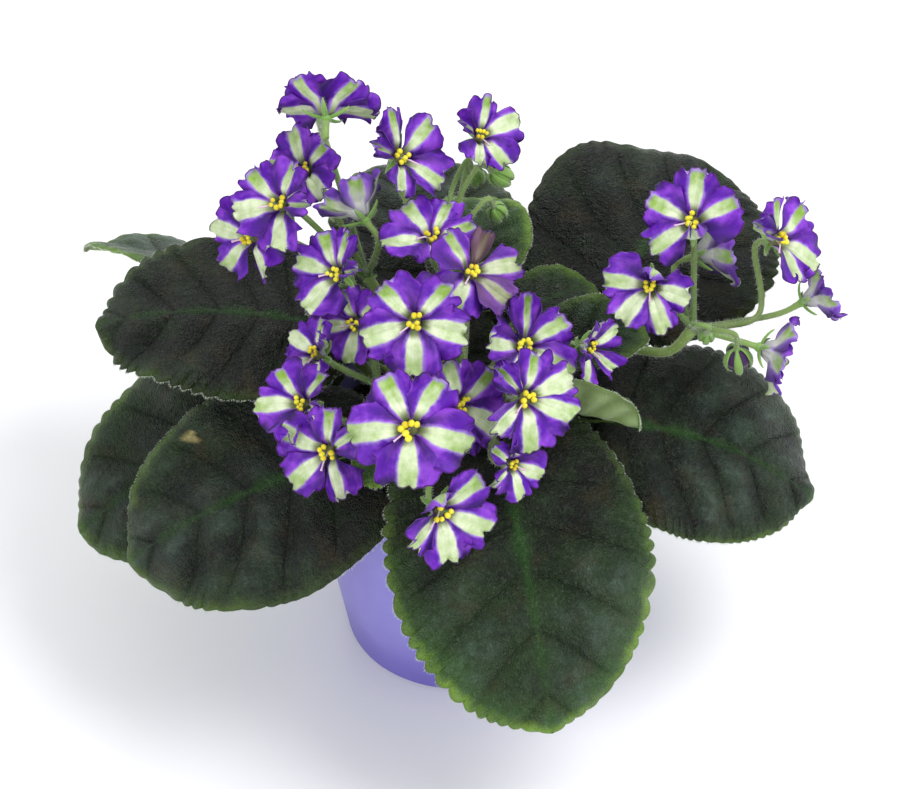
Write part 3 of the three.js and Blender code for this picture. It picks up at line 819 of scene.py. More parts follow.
def midribFrames(leaf, along):
    # points of the midrib at these shares of it, with the directions of the blade's side and upper face there
    base, tip = leaf["base"], leaf["tip"]
    up = np.array([0.0, 0.0, 1.0])
    flatSide = unit(np.cross(up, tip - base))
    lift = unit(np.cross(tip - base, flatSide))
    bend = (base + tip) / 2 + lift * 2 * leaf["arch"] + flatSide * 2 * leaf["sweep"]
    u, v = (1 - along)[..., None], along[..., None]
    point = base * u * u + bend * 2 * u * v + tip * v * v
    tangent = unit((bend - base) * u + (tip - bend) * v)
    level = unit(np.cross(up, tangent))
    upright = np.cross(tangent, level)
    roll = radians(leaf["roll"]) * (0.45 + 0.55 * smooth(along, 0, 0.5))[..., None]
    side, normal = level * np.cos(roll) + upright * np.sin(roll), upright * np.cos(roll) - level * np.sin(roll)
    return point, side, normal


def leafOutline(leaf, length, steps):
    # half of the outline from the notch at the petiole to the tip: mm sideways, mm along, row; and its length
    body = leafBody
    first = radians(body["firstRow"])
    start = (1 - cos(first)) / 2
    half = leaf["width"] / 2
    across = np.linspace(0, 1, body["notchPoints"], endpoint=False)
    row = np.linspace(0, 1, body["sidePoints"])
    angle = first + (pi - first) * row
    baseX = across * half * sin(first) * (1 + 0.1 * cos(first))
    baseY = -0.1 * np.sin(0.75 * pi * across)
    sideX = half * np.sin(angle) * (1 + 0.1 * np.cos(angle))
    sideY = ((1 - np.cos(angle)) / 2 - start) / (1 - start)
    sideY = sideY - 0.1 * sin(0.75 * pi) * np.maximum(0, 1 - row / 0.45) ** 2
    curves = [np.append(baseX, sideX), np.append(baseY, sideY) * length, np.append(0 * across, row)]

    def evened(curves, count):
        path = np.concatenate([[0], np.cumsum(np.hypot(np.diff(curves[0]), np.diff(curves[1])))])
        return [np.interp(np.linspace(0, path[-1], count), path, curve) for curve in curves], path[-1]
    (x, y, rows), _ = evened(curves, body["outlinePoints"])
    window = np.hanning(body["outlineWindow"])
    window /= window.sum()
    reach = len(window) // 2

    def soften(value, mirror):
        padded = np.concatenate([mirror * value[reach:0:-1], value, mirror * value[-2:-reach - 2:-1]])
        return np.convolve(padded, window, "valid")
    (x, y, rows), outline = evened([soften(x, -1), soften(y, 1), rows], steps)
    return x, y, rows, outline


def leafGrid(leaf, seed):
    # the blade before it is bent: sideways and along in mm, height, vein, edge distance and painted sheen
    body = leafBody
    length = float(np.linalg.norm(leaf["tip"] - leaf["base"]))
    half = leaf["width"] / 2
    pitch = leaf["pitch"] * (1.3 if half < 20 else 1)
    teeth = max(8, round(leafOutline(leaf, length, 50)[3] / pitch))
    steps = teeth * max(7, round(pitch * 1.7)) + 1
    outX, outY, rows, _ = leafOutline(leaf, length, steps)
    t = np.linspace(0, 1, steps)
    rng = np.random.default_rng(seed)
    tangentX, tangentY = np.gradient(outX), np.gradient(outY)
    scale = np.hypot(tangentX, tangentY)
    size = min(1.0, half / 30)
    middle = t ** 2.2 * length
    sideGrid, downGrid = np.meshgrid(1 - (1 - np.linspace(0, 1, body["columns"])) ** 1.35, t)
    ease = smooth(sideGrid, 0.6, 1.0)
    fade = 1 - smooth(sideGrid, 0.75, 0.98)
    angle = radians(body["firstRow"]) + radians(180 - body["firstRow"]) * rows[:, None]
    ends = smooth(t, 0.0, 0.12) * (1 - smooth(t, 0.95, 1.0))
    reach = np.hypot(outX, outY - middle)[:, None]
    margin = (1 - sideGrid) * reach / leaf["margin"]
    # the side veins: q counts them along the midrib
    q = body["veins"] * downGrid ** 1.5 - 0.45
    slope = body["veins"] * 1.5 * np.sqrt(np.maximum(downGrid, 0.02))
    puffed = np.sin(pi * q) ** 2 * np.sin(pi * np.clip(sideGrid, 0, 1)) ** 0.6
    sides = []
    for side in (-1, 1):
        # scallops and slow wandering of the edge
        phase = rng.uniform(0, 1)
        uneven = np.clip(0.62 + 0.6 * ripple(t * 15, 0 * t, seed + 11 * side), 0.15, 1.25)
        beat = teeth * t + 0.5 * np.sin(t * 9 + phase * 6) + 0.3 * np.sin(t * 27 + phase * 9)
        depth = body["toothDepth"] * leaf["teeth"] * (1 - 0.5 * smooth(t, 0.6, 0.95))
        tooth = (np.abs(np.sin(pi * beat)) ** 0.8 - 0.6) * depth * size * uneven * ends
        tooth = tooth + size * body["wander"] * ripple(t * 7, 0 * t, seed + 17 * side) * ends
        edgeX = outX[:, None] + (tooth * tangentY / scale)[:, None] * ease
        edgeY = outY[:, None] - (tooth * tangentX / scale)[:, None] * ease
        x = sideGrid * edgeX
        y = middle[:, None] + (edgeY - middle[:, None]) * sideGrid ** 1.25
        rate = np.hypot(np.gradient(x, axis=0), np.gradient(y, axis=0)) * (steps - 1)
        distance = np.abs(q - np.clip(np.round(q), 0, body["veins"] - 1)) * rate / slope
        lateral = np.exp(-(distance / 0.95) ** 2) * fade * smooth(sideGrid, 0.0, 0.05)
        midrib = np.exp(-(x / 1.5) ** 2) * (1 - 0.75 * downGrid)
        # painted shade: a band beside each side vein where the blade dips
        creaseShade = np.exp(-(distance / 2.2) ** 2) * fade * smooth(sideGrid, 0.0, 0.1)
        cells = ripple(x * 0.1, y * 0.1, seed + 5)
        cross = 0.5 + 0.5 * np.cos(2 * pi * (sideGrid * reach / 7.5 + 0.5 * np.floor(q)) + cells)
        swell = ripple(side * x * 0.085, y * 0.085, seed + 1)
        # height: cup and waves, quilting between the veins, grooves, slow swells, frills and the rolled edge
        wave = leaf["wave"] * np.sin(rows[:, None] * 11 + (1.3 if side > 0 else 0)) * sideGrid ** 2 * ends[:, None]
        rise = leaf["cup"] * sideGrid ** 2 * np.sin(angle) + wave
        rise = rise + size * body["puff"] * puffed * (0.7 + 0.3 * cross) * (1 - np.exp(-(x / 2.5) ** 2))
        rise = rise - size * (body["grooveDepth"] * lateral + body["midribDepth"] * midrib)
        rise = rise + size * body["swell"] * swell * (1 - np.exp(-(x / 7) ** 2))
        flutter = ripple(downGrid * 16, 0 * downGrid, seed + 23 * side) * sideGrid ** 3
        flutter = flutter + 0.25 * np.sin(2 * pi * beat)[:, None] * sideGrid ** 8
        rise = rise + size * body["frill"] * flutter * ends[:, None]
        rise = rise + size * 0.12 * ripple(side * x * 0.7, y * 0.7, seed + 2, 9)
        rise = rise - size * body["edgeRoll"] * smooth(sideGrid, 0.86, 1.0) ** 2 + 0.3 * ease * tooth[:, None]
        # veins read above 0 and the painted shade of the creases beside them below it; the painted sheen lies on
        # the raised parts
        vein = midrib * smooth(y / length, -0.1, 0.1) - 0.7 * creaseShade * (1 - midrib)
        # painted sheen: strongest on the bulges between the side veins and on the higher swells
        high = swell + 0.6 * ripple(side * x * 0.06, y * 0.06, seed + 31)
        paintedSheen = (0.1 + 0.9 * puffed * (0.6 + 0.4 * cross)) * smooth(high, -1.5, 1.0) * fade
        paintedSheen = paintedSheen * smooth(y / length, 0.1, 0.6) * (1 - 0.7 * midrib)
        sides.append((side * x, y, rise, vein, margin, paintedSheen))
    return [np.hstack([left[:, ::-1], right[:, 1:]]) for left, right in zip(*sides)], length


def bentBlade(leaf, seed):
    # the blade's points in place, and what its materials read; columns run from its right to its left
    (x, y, rise, vein, edge, paintedSheen), length = leafGrid(leaf, seed)
    point, side, normal = midribFrames(leaf, y / length)
    grid = point + side * x[..., None] + normal * rise[..., None]
    return grid, pair(x, y) / 100, pair(vein, edge / 10), (x, y, y / length, edge, paintedSheen)


def makeLeaf(leaf, seed):
    grid, flat, marks, (x, y, along, edge, paintedSheen) = bentBlade(leaf, seed)
    spot = 0
    if "spot" in leaf:
        sx, sy, radius = leaf["spot"]
        spot = 1 - smooth(np.hypot(x - sx, (y - sy) * 0.8) + ripple(x, y, 9), radius * 0.6, radius * 1.2)
    # painted shade: the green darkens toward the crown, in the shade of the blooms and the leaves above it
    freshAndLit = leaf["freshAndLit"] * smooth(along, -0.1, 0.8)
    tone = pair(freshAndLit, paintedSheen * leaf["paintedSheen"] * (1 - smooth(spot, 0, 0.2)) - spot)
    thinning = 1 - 0.45 * smooth(1 - np.clip(edge / 6, 0, 1), 0, 1)
    thickness = leafBody["thickness"] * thinning * min(1, leaf["width"] / 40)
    shape = newShape()
    normals = addSheet(shape, grid, thickness, flat, marks, tone, (0, 1, 0), flipped=True)
    addPetiole(shape, leaf, seed)
    rng = np.random.default_rng(seed + 40)
    addEdgeHairs(shape, grid, normals, rng, leaf)
    addDown(shape, grid, normals, rng)
    buildPiece(leaf["node"] + "_blade", shape, leafSkins, (leaf["node"],))


def addEdgeHairs(shape, grid, normals, rng, leaf):
    outer = grid[:, [0, -1]]
    away = unit(outer - grid[:, [3, -4]])
    size = leafBody["hairLength"] * min(1, leaf["width"] / 50 + 0.3)
    for k in range(2):
        steps = lengthsAlong(outer[:, k])
        count = int(steps[-1] * leafBody["hairsPerMm"])
        at = np.sort(rng.uniform(0, steps[-1], count))
        up = readAt(at, steps, normals[:, -k])
        directions = readAt(at, steps, away[:, k]) + up * rng.uniform(-0.5, 0.7, (count, 1))
        addHairs(shape, readAt(at, steps, outer[:, k]), directions, size, leafBody["hairRadius"], 2, rng)


def addDown(shape, grid, normals, rng):
    # short hairs scattered over the blade's upper side
    a, b = grid[1:, :-1] - grid[:-1, :-1], grid[:-1, 1:] - grid[:-1, :-1]
    areas = np.linalg.norm(np.cross(a, b), axis=-1).ravel()
    count = int(areas.sum() * leafBody["downPerMm2"])
    row, column = np.unravel_index(rng.choice(len(areas), count, p=areas / areas.sum()), a.shape[:2])
    s, t = rng.uniform(0, 1, (2, count, 1))
    roots = grid[row, column] + a[row, column] * s + b[row, column] * t
    out = -normals[row, column]
    addHairs(shape, roots + out * 0.3, out, leafBody["downLength"], leafBody["downRadius"], 2, rng, 0.4)


def addPetiole(shape, leaf, seed):
    body = leafBody
    azimuth = atan2(leaf["base"][1], leaf["base"][0])
    outward = np.array([cos(azimuth), sin(azimuth), 0.0])
    root = outward * (crown["radius"] - body["petioleRoot"]) + [0, 0, leaf["level"]]
    path = [root, root + outward * body["petioleReach"]]
    for along in (0.0, 0.1, 0.28):
        point, _, normal = midribFrames(leaf, np.array([along]))
        drop = (body["petioleRadius"] * (1 - along) + body["thickness"]) * (0.6 if along < 0.2 else 0.25)
        path.append(point[0] - normal[0] * drop)
    line = curveThrough(path, 40)
    share = np.linspace(0, 1, len(line))
    size = min(1, 0.55 + leaf["width"] / 150)
    radii = body["petioleRadius"] * size * (1 - 0.75 * smooth(share, 0.7, 1.0))
    radii = radii * (1 + 0.15 * (1 - smooth(share, 0, 0.2)))
    addTube(shape, line, radii, body["petioleSides"], 3, tone=(0.35, 0), flatten=0.92)
    rng = np.random.default_rng(seed + 80)
    growStemHairs(shape, line, radii, body["stemHairsPerMm"], body["stemHairLength"], rng)


def growStemHairs(shape, line, radii, perMm, length, rng):
    steps = lengthsAlong(line)
    count = int(steps[-1] * perMm)
    at = np.sort(rng.uniform(0, steps[-1], count))
    side, other = ringFrames(line)
    angle = rng.uniform(0, 2 * pi, (count, 1))
    out = unit(readAt(at, steps, side) * np.cos(angle) + readAt(at, steps, other) * np.sin(angle))
    radius = np.interp(at, steps, radii)[:, None]
    roots = readAt(at, steps, line) + out * radius * 0.92
    addHairs(shape, roots, out, length, leafBody["stemHairRadius"], 2, rng, 0.1)


# crown
def makeCrown():
    shape = newShape()
    neck, radius, top = crown["neck"], crown["radius"], crown["top"]
    line = curveThrough([(0, 0, crown["foot"] + 3), (0, 0, 76), (0, 0, 84), (0, 0, top - 0.5)], 30)
    share = np.linspace(0, 1, len(line))
    radii = neck + (radius - 0.6 - neck) * smooth(share, 0.35, 0.65)
    radii = radii * np.where(share > 0.93, 0.85, 1.0) + 0.25 * np.sin(share * 40)
    addTube(shape, line, radii, crown["sides"], 3, tone=(0.5, 0))
    rng = np.random.default_rng(21)
    growStemHairs(shape, line, radii, crown["hairsPerMm"], leafBody["stemHairLength"], rng)
    for i in range(crown["hearts"]):
        outward = inPlane(np.eye(3), i * crown["heartTurn"])
        base, tip = outward * 1.2 + [0, 0, top - 1], outward * 3.6 + [0, 0, top + crown["heartHeight"] + i]
        heart = leafAt("heart", base, tip, crown["heartWidth"], top, 0.8, 0.0, arch=0.5, cup=0.6, wave=0.1)
        grid, flat, marks = (values[:, ::-1] for values in bentBlade(heart, 60 + i)[:3])
        addSheet(shape, grid, crown["heartThickness"], flat, marks, (0.8, 0), (0, 1, 0))
        rows, columns, count = *grid.shape[:2], crown["heartHairs"]
        roots = grid[rng.integers(0, rows, count), rng.choice([0, columns - 1], count)]
        out = unit(roots - grid.mean((0, 1)))
        addHairs(shape, roots, out, leafBody["stemHairLength"], leafBody["stemHairRadius"], 2, rng)
    buildPiece("crown_heart", shape, leafSkins, ("crown",))


# blooms
bloomBody = {
    "throatDepth": 3.2, "throatShare": 0.2, "thickness": 0.34, "ruffle": 0.42, "frill": 0.6, "hook": 2.6,
    "columns": 73, "spread": 0.64, "shoulder": 0.27, "pillow": 0.5, "tuck": 0.5, "twist": 7.0,
    "anthers": 3, "antherRadius": 1.15, "antherReach": 1.75, "antherSpacing": 0.78, "filamentRadius": 0.36,
    "styleLength": 5.6, "styleRadius": 0.26, "throatRadius": 2.1, "throatHeight": 1.3, "usualSize": 33,
}


# place is a bloom's middle and face the azimuth and elevation it looks to. lobes are the compass directions of
# its petals in its own face, 90 at the top; lift adds to a petal's forward curl, in degrees; pinch folds it
# along its middle, forwards above 0; reach scales its length and wilt is how faded it is. by are points that
# its pedicel passes, and a vivid bloom is as strongly coloured on its back as on its face.
def bloomAt(place, face, size, bowl, lobes=(20, 90, 160, 235, 305), **bends):
    none = (0,) * 6
    usual = {"lift": none, "pinch": none, "wilt": none, "reach": (1,) * 6, "by": [], "vivid": False}
    azimuth, elevation = (radians(a) for a in face)
    level = cos(elevation)
    facing = np.array([sin(azimuth) * level, -cos(azimuth) * level, sin(elevation)])
    right = np.array([cos(azimuth), sin(azimuth), 0.0])
    axes = np.stack([right, np.cross(facing, right), facing])
    place = np.array(place, float)
    return {**usual, "place": place, "axes": axes, "size": size, "bowl": bowl, "lobes": lobes, **bends}


def budAt(place, by, size, halfOpen=False):
    place = np.array(place, float)
    down = unit(place - np.array(by[-1], float))
    return {"place": place, "by": by, "size": size, "halfOpen": halfOpen, "down": down}


sprays = [
    {"name": "back_left", "foot": (-6, 4), "fork": (-28, 22, 124), "blooms": [
        bloomAt((-40, 45, 172), (180, 22), 31, 5, (46, 134, 200, 270, 340), lift=(0, 0, -30, 100, -30),
                reach=(1, 1, 1.05, 0.7, 1), by=[(-38, 53, 140), (-44, 66, 154)], vivid=True),
        bloomAt((-47.5, 40.3, 151.8), (-28, 48), 27, 3, (58, 126, 192, 262, 330), lift=(20, 0, 0, 0, 0),
                reach=(1, 1.1, 0.85, 0.8, 0.9)),
        bloomAt((-54, 18, 156), (-35, 42), 31, 1, (15, 85, 158, 212, 300), lift=(40, 5, 0, 0, 10),
                pinch=(0.7, 0.25, 0, 0, -0.2)),
        bloomAt((-64, 23, 139), (-42, 25), 28, 1, (50, 115, 190, 250, 325), lift=(20, 30, 0, 0, 20),
                pinch=(-0.5, 0.5, 0, 0, -0.5)),
        bloomAt((-30.5, 27, 146.5), (-142, 26), 29, 7, (20, 84, 150, 235, 305), pinch=(0.3, 0, 0, 0, 0),
                reach=(1, 1.05, 1, 0.8, 0.8)),
    ]},
    {"name": "left", "foot": (-7, -3), "fork": (-24, -8, 106), "blooms": [
        bloomAt((-37, 6, 139), (-35, 45), 29, 1, (20, 90, 132, 187, 257), lift=(60, 20, 0, 0, 10),
                pinch=(0.75, 0.4, 0, 0, 0)),
        bloomAt((-31, 0, 124), (-20, 30), 25, 2, (54, 126, 198, 270, 342)),
        bloomAt((-43, -11, 122), (-60, 50), 24, 2, (50, 117, 190, 262, 334), lift=(60, 30, 0, 0, 30),
                pinch=(0.8, 0, 0, 0, -0.5)),
        bloomAt((-47, -27, 116), (-35, 45), 29, 1, (65, 150, 205, 296, 0), lift=(30, 0, 0, 60, 60),
                pinch=(0.5, 0, 0, 0.5, 0.6), by=[(-33, -22, 104)]),
        bloomAt((-39, -43, 111), (-22, 28), 31, 0, (46, 92, 170, 234, 300), lift=(20, 5, 0, 0, 30),
                pinch=(0.5, 0.3, 0, 0, -0.6)),
    ]},
    {"name": "top", "foot": (1, 7), "fork": (-4, 20, 126), "blooms": [
        bloomAt((-17, 36, 160), (30, 45), 31, 4, (30, 86, 150, 238, 302), lift=(0, 20, 40, 15, 0),
                pinch=(0, -0.55, 0.7, 0.45, 0.2), reach=(1, 1.1, 1.05, 0.9, 1)),
        bloomAt((-8, 15, 146), (-15, 80), 30, 3, (20, 80, 140, 214, 300), reach=(1, 1, 1.05, 1.05, 0.9)),
        bloomAt((4, -3, 147), (20, 50), 30, 2, (54, 112, 228, 305, 356), lift=(10, 5, 5, 0, 5),
                pinch=(-0.6, 0.2, 0, 0.2, 0.15), wilt=(0.9, 0.12, 0.0, 0.5, 0.2)),
        bloomAt((7, 52, 156), (25, 55), 26, 2, (6, 60, 140, 242, 290), lift=(0, 10, 40, 10, 0),
                pinch=(0, -0.3, 0.7, 0.2, 0), reach=(1.05, 1.05, 0.85, 0.9, 1)),
    ], "buds": [
        budAt((5, 55, 138), [(-2, 42, 142), (3, 50, 148)], 8),
        budAt((13, 50, 142), [(-1, 38, 138), (7, 46, 149)], 9),
        budAt((12, 42, 134), [(2, 32, 136), (9, 38, 142)], 7.5),
    ]},
    {"name": "front", "foot": (-2, -7), "fork": (-8, -18, 108), "blooms": [
        bloomAt((-13, -19, 141), (0, 40), 33, 1, (47, 134, 199, 269, 346)),
        bloomAt((-14, -52, 129), (-3, 42), 36, 0, (60, 120, 188, 269, 345)),
        bloomAt((-5, -61, 104), (22, 28), 33, 1, (30, 100, 208, 268, 325), lift=(15, 120, 40, 0, 0),
                pinch=(0.2, 0, 0.5, 0, 0), reach=(1, 0.8, 0.9, 1, 1), by=[(-8, -36, 108)]),
        bloomAt((1, -28, 116), (40, 35), 31, 1, lift=(0, 20, 20, 40, 0)),
    ]},
    {"name": "inner_right", "foot": (5, -5), "fork": (14, -12, 108), "blooms": [
        bloomAt((20, -14, 128), (12, 52), 32, 2, (22, 80, 178, 250, 315), lift=(0, 25, 75, 0, 0),
                pinch=(0, 0.5, 0.2, 0, 0)),
        bloomAt((39.5, -11.5, 124.5), (54, 20), 22.5, 3, (0, 72, 144, 216, 288), lift=(-10, 40, 30, 0, 20),
                pinch=(0.3, 0.5, 0.4, 0, 0.4)),
        bloomAt((20, -36, 126), (22, 38), 32, 0, (9, 66, 124, 205, 262, 327), lift=(0, 0, 30, 50, 0, 0),
                pinch=(0, 0.2, 0.6, 0.5, 0, 0)),
        bloomAt((16, -45, 108), (38, 25), 22, 2, (54, 126, 190, 262, 318), pinch=(0.3, 0.4, 0.5, 0, 0)),
    ]},
    {"name": "right", "foot": (7, 2), "fork": (72, 7, 116), "way": [(24, 10, 98), (50, 15, 101), (65, 9, 105)],
     "blooms": [
        bloomAt((71, 22, 146), (-10, 46), 33, 0, (30, 90, 160, 222, 284), lift=(15, 0, 0, 5, 165),
                pinch=(0, 0, 0, 0, 0.3), reach=(1, 1.05, 1, 0.95, 0.85)),
        bloomAt((57.5, 2.5, 137), (-18, 42), 29, 1, (352, 68, 184, 243, 300), lift=(20, 165, 0, 0, 0),
                reach=(0.95, 0.85, 1, 1, 1)),
        bloomAt((98, 21, 140), (50, 38), 33, 1, (12, 70, 140, 250, 300), lift=(0, 30, 30, 20, 0),
                pinch=(0, -0.5, 0.85, 0.4, 0), reach=(1, 0.85, 1.2, 0.9, 1), by=[(92, 11, 118)]),
        bloomAt((110, 21, 117), (108, 20), 24.5, 6),
        bloomAt((96, 1, 112), (77, -12), 28, 6),
        bloomAt((77, 30, 128), (110, 14), 29, 6),
    ], "buds": [
        budAt((86, 4, 107), [(77, 2, 120), (84, 1, 119)], 11, halfOpen=True),
        budAt((76, 6, 114), [(72, 2, 122), (76, 1, 122)], 6),
    ]},
]


def lobePlan(bloom):
    # each lobe's half widths in degrees, clockwise side first, and which neighbour it lies over
    lobes = np.asarray(bloom["lobes"], float) % 360
    order = list(np.argsort(lobes))
    height = [sin(radians(a)) for a in lobes]
    plan = [None] * len(lobes)
    for rank, i in enumerate(order):
        before, after = order[rank - 1], order[(rank + 1) % len(order)]
        gaps = ((lobes[i] - lobes[before]) % 360, (lobes[after] - lobes[i]) % 360)
        plan[i] = {
            "centre": lobes[i],
            "halves": [min(gap, 100) * bloomBody["spread"] for gap in gaps],
            "over": [1 if (height[i], i) < (height[j], j) else -1 for j in (before, after)],
        }
    return plan


def addLobe(shape, bloom, lobe, rng):
    body = bloomBody
    radius, pinch = lobe["radius"], lobe["pinch"]
    v = np.concatenate([np.linspace(0, 0.68, 13, endpoint=False), np.linspace(0.68, 1, 18)])[:, None]
    u = np.linspace(-1, 1, body["columns"])[None]
    away = np.abs(u)
    start = body["throatShare"] * 0.62
    phase = rng.uniform(0, 2 * pi, 14)
    tip = np.exp(-(u / 0.26) ** 2)
    # the outline: rounded shoulders, slow waves and a shallow dip where the stripe ends
    shoulder = 1 - body["shoulder"] * smooth(away, 0.4, 1.0) ** 1.6
    waves = 0.032 * np.sin(u * 4.5 + phase[0]) + 0.022 * np.sin(u * 10 + phase[1])
    waves = waves + 0.008 * np.sin(u * 21 + phase[2]) + 0.005 * np.sin(u * 34 + phase[10])
    along = start + (1 - start) * v
    rho = along * radius * (shoulder + waves - 0.06 * tip * sin(phase[3]) ** 2)
    half = np.where(u < 0, *lobe["halves"])
    turn = np.radians(away * half * (0.88 + 0.12 * smooth(v, 0.2, 0.8))) * np.sign(u)
    # how far each part leans forward: the bowl, then slow ruffles, then frills and curls at the edge
    curl = 2 * bloom["bowl"] / radius + radians(lobe["lift"] + rng.uniform(-9, 9))
    lean = curl * (rho / radius) ** 1.4
    slow = (np.sin(u * 4.4 + phase[4]) + 0.7 * np.sin(u * 8.3 + phase[5])) * (0.45 + 0.55 * away)
    lean = lean + body["ruffle"] * slow * smooth(v, 0.25, 1.0) ** 1.5
    quick = (0.55 + 0.6 * tip) * (np.sin(u * 13 + phase[6]) + 0.6 * np.sin(u * 23 + phase[7]))
    lean = lean + body["frill"] * quick * smooth(v, 0.72, 1.0) ** 1.5
    for corner, k, strength in ((-0.3, 8, 1), (0.3, 9, 1), (0.75, 12, 0.6), (-0.75, 13, 0.6)):
        hook = np.exp(-((u - corner) / 0.1) ** 2) * sin(phase[k]) * abs(sin(phase[k]))
        lean = lean + body["hook"] * strength * hook * smooth(v, 0.8, 1.0)
    step = np.diff(rho, axis=0, prepend=0 * rho[:1])
    flatReach = np.cumsum(step * np.cos(lean), axis=0)
    height = np.cumsum(step * np.sin(lean), axis=0)
    height = height + body["pillow"] * np.sin(pi * np.clip(away * 1.1, 0, 1)) * np.sin(pi * v) ** 0.8
    height = height - body["throatDepth"] * (1 - smooth(along, start, 0.36)) ** 1.3
    # a petal's side lies over or under its neighbour's
    over = np.where(u < 0, *lobe["over"])
    height = height + body["tuck"] * over * smooth(away, 0.3, 0.9) * smooth(v, 0, 0.5)
    # painted shade: darker in the lobe's hollows and where its side tucks under a neighbour's
    hollowShade = smooth(height.mean(1, keepdims=True) - height, -0.2, 1.6) * smooth(v, 0.2, 0.6)
    hollowShade = np.maximum(hollowShade, 0.85 * (over < 0) * smooth(away, 0.45, 0.85) * (1 - 0.5 * v))
    # a pinched petal is folded along its middle, and twist leans it to one side
    height = height + rho * np.abs(np.sin(turn)) * pinch * 1.1
    height = height + flatReach * np.sin(turn) * tan(radians(lobe["twist"]))
    direction = radians(lobe["centre"]) + turn * (1 - 0.75 * abs(pinch))
    local = np.stack([flatReach * np.cos(direction), flatReach * np.sin(direction), height], -1)
    aside = along * np.sin(turn)
    flat = pair(aside * radius, rho) / 100 + rng.uniform(0, 5, 2)
    tone = pair(lobe["green"], lobe["wilt"] - hollowShade * (lobe["wilt"] == 0))
    thickness = body["thickness"] * (1 - 0.5 * smooth(v, 0.6, 1.0))
    skins = (0, 0, 2) if bloom["vivid"] else (0, 1, 2)
    grid = bloom["place"] + local @ bloom["axes"]
    addSheet(shape, grid, thickness, flat, pair(0.5 + 0.5 * aside, along), tone, skins, flipped=True)


def addCentre(shape, bloom, rng):
    # the throat's floor, the pairs of anther lobes on their filaments, and the style
    body = bloomBody
    axes, place = bloom["axes"], bloom["place"]
    facing = axes[2]
    scale = bloom["size"] / body["usualSize"]
    cup = place - facing * (body["throatDepth"] + 0.1)
    floor = (body["throatRadius"] * scale, body["throatRadius"] * scale, body["throatHeight"])
    addBlob(shape, cup + facing * 0.6, axes, floor, 5, tone=(0.75, 0), rows=8, sides=16)
    start = rng.uniform(0, 360)
    for i in range(body["anthers"]):
        out = inPlane(axes, radians(start + i * 360 / body["anthers"] + rng.uniform(-26, 26)))
        reach = (body["antherReach"] + rng.uniform(-0.7, 0.6)) * scale
        middle = place + out * reach + facing * (0.8 + rng.uniform(-0.4, 0.9))
        root = cup + facing * 1.4 + out * 0.6
        line = curveThrough([root, place + out * reach * 0.8 - facing * 0.9, middle], 8)
        addTube(shape, line, body["filamentRadius"] * scale, 8, 5)
        tilt = rng.uniform(-1.0, 1.0)
        spread = np.cross(facing, out) * cos(tilt) + out * sin(tilt)
        length = unit(spread + facing * rng.uniform(-0.5, 0.5))
        across = unit(np.cross(facing, length))
        antherAxes = np.stack([length, across, np.cross(length, across)])
        for end in (-1, 1):
            centre = middle + length * end * body["antherSpacing"] * scale
            size = body["antherRadius"] * scale * rng.uniform(0.85, 1.12)
            addBlob(shape, centre, antherAxes, (size * 0.76, size * 0.82, size * 0.7), 3, rows=7, sides=10)
    out = inPlane(axes, radians(rng.choice([215, 268, 300]) + rng.uniform(-15, 15)))
    end = place + out * body["styleLength"] * scale + facing * (2.0 + rng.uniform(-0.5, 0.8))
    line = curveThrough([cup + facing * 1.5, place + out * 2.2 + facing * 0.8, end], 14)
    addTube(shape, line, body["styleRadius"] + 0.14 * smooth(np.linspace(0, 1, len(line)), 0.85, 1.0), 8, 4)


def makeBloom(bloom, nodeName, seed):
    rng = np.random.default_rng(seed)
    shape = newShape()
    bends = zip(*(bloom[key] for key in ("lift", "wilt", "pinch", "reach")))
    for lobe, (lift, wilt, pinch, reach) in zip(lobePlan(bloom), bends):
        upper = sin(radians(lobe["centre"])) > 0.2
        lobe["green"] = 0.75 + rng.uniform(-0.1, 0.25) if upper else 0.3 + rng.uniform(-0.15, 0.35)
        lobe["twist"] = rng.uniform(-bloomBody["twist"], bloomBody["twist"])
        lobe["radius"] = bloom["size"] / 2 * (0.96 if upper else 1.03) * reach
        addLobe(shape, bloom, {**lobe, "lift": lift, "wilt": wilt, "pinch": pinch}, rng)
    addCentre(shape, bloom, rng)
    buildPiece(nodeName + "_petals", shape, bloomSkins, (nodeName,))


# stalks, calyxes and buds
stalkBody = {
    "radius": 1.5, "pedicelRadius": 0.95, "standOff": 11.0, "upright": 8.0, "sepals": 5, "sepalLength": 6.6,
    "sepalWidth": 1.9, "sepalCurl": 0.75, "sepalThickness": 0.45, "hairLength": 1.15, "hairsPerMm": 11.0,
    "sepalHair": 0.8, "sepalHairRadius": 0.028, "calyxRadius": 1.7, "calyxHeight": 1.3, "sides": 12,
    "bractLength": 4.5, "bractWidth": 1.4, "bractCurl": 0.5, "budThickness": 0.4, "budRadius": 0.36,
}


def addSepalHairs(shape, roots, directions, rng):
    addHairs(shape, roots, directions, stalkBody["sepalHair"], stalkBody["sepalHairRadius"], 2, rng)


def addSepal(shape, base, out, forward, length, width, curl, rng):
    # one narrow pointed sepal from base, spreading along out and curling along forward
    t = np.linspace(0, 1, 14)[:, None]
    u = np.linspace(-1, 1, 7)[None]
    side = np.cross(forward, out)
    half = width / 2 * np.sin(pi * (0.12 + 0.88 * t)) ** 0.8 * (1 - 0.35 * t)
    reach = length * (np.sin(curl * t) / curl)
    lift = length * ((1 - np.cos(curl * t)) / curl) + 0.25 * (u ** 2) * width
    grid = base + reach[..., None] * out + lift[..., None] * forward + (u * half)[..., None] * side
    thickness = stalkBody["sepalThickness"] * (1 - 0.4 * t)
    addSheet(shape, grid, thickness, pair(u * half, length * t) / 100, pair(t, 0), (0, 0), (1, 1, 1))
    away = np.repeat([-side, side, -forward], len(t), axis=0)
    addSepalHairs(shape, np.concatenate([grid[:, 0], grid[:, -1], grid[:, 3]]), away, rng)


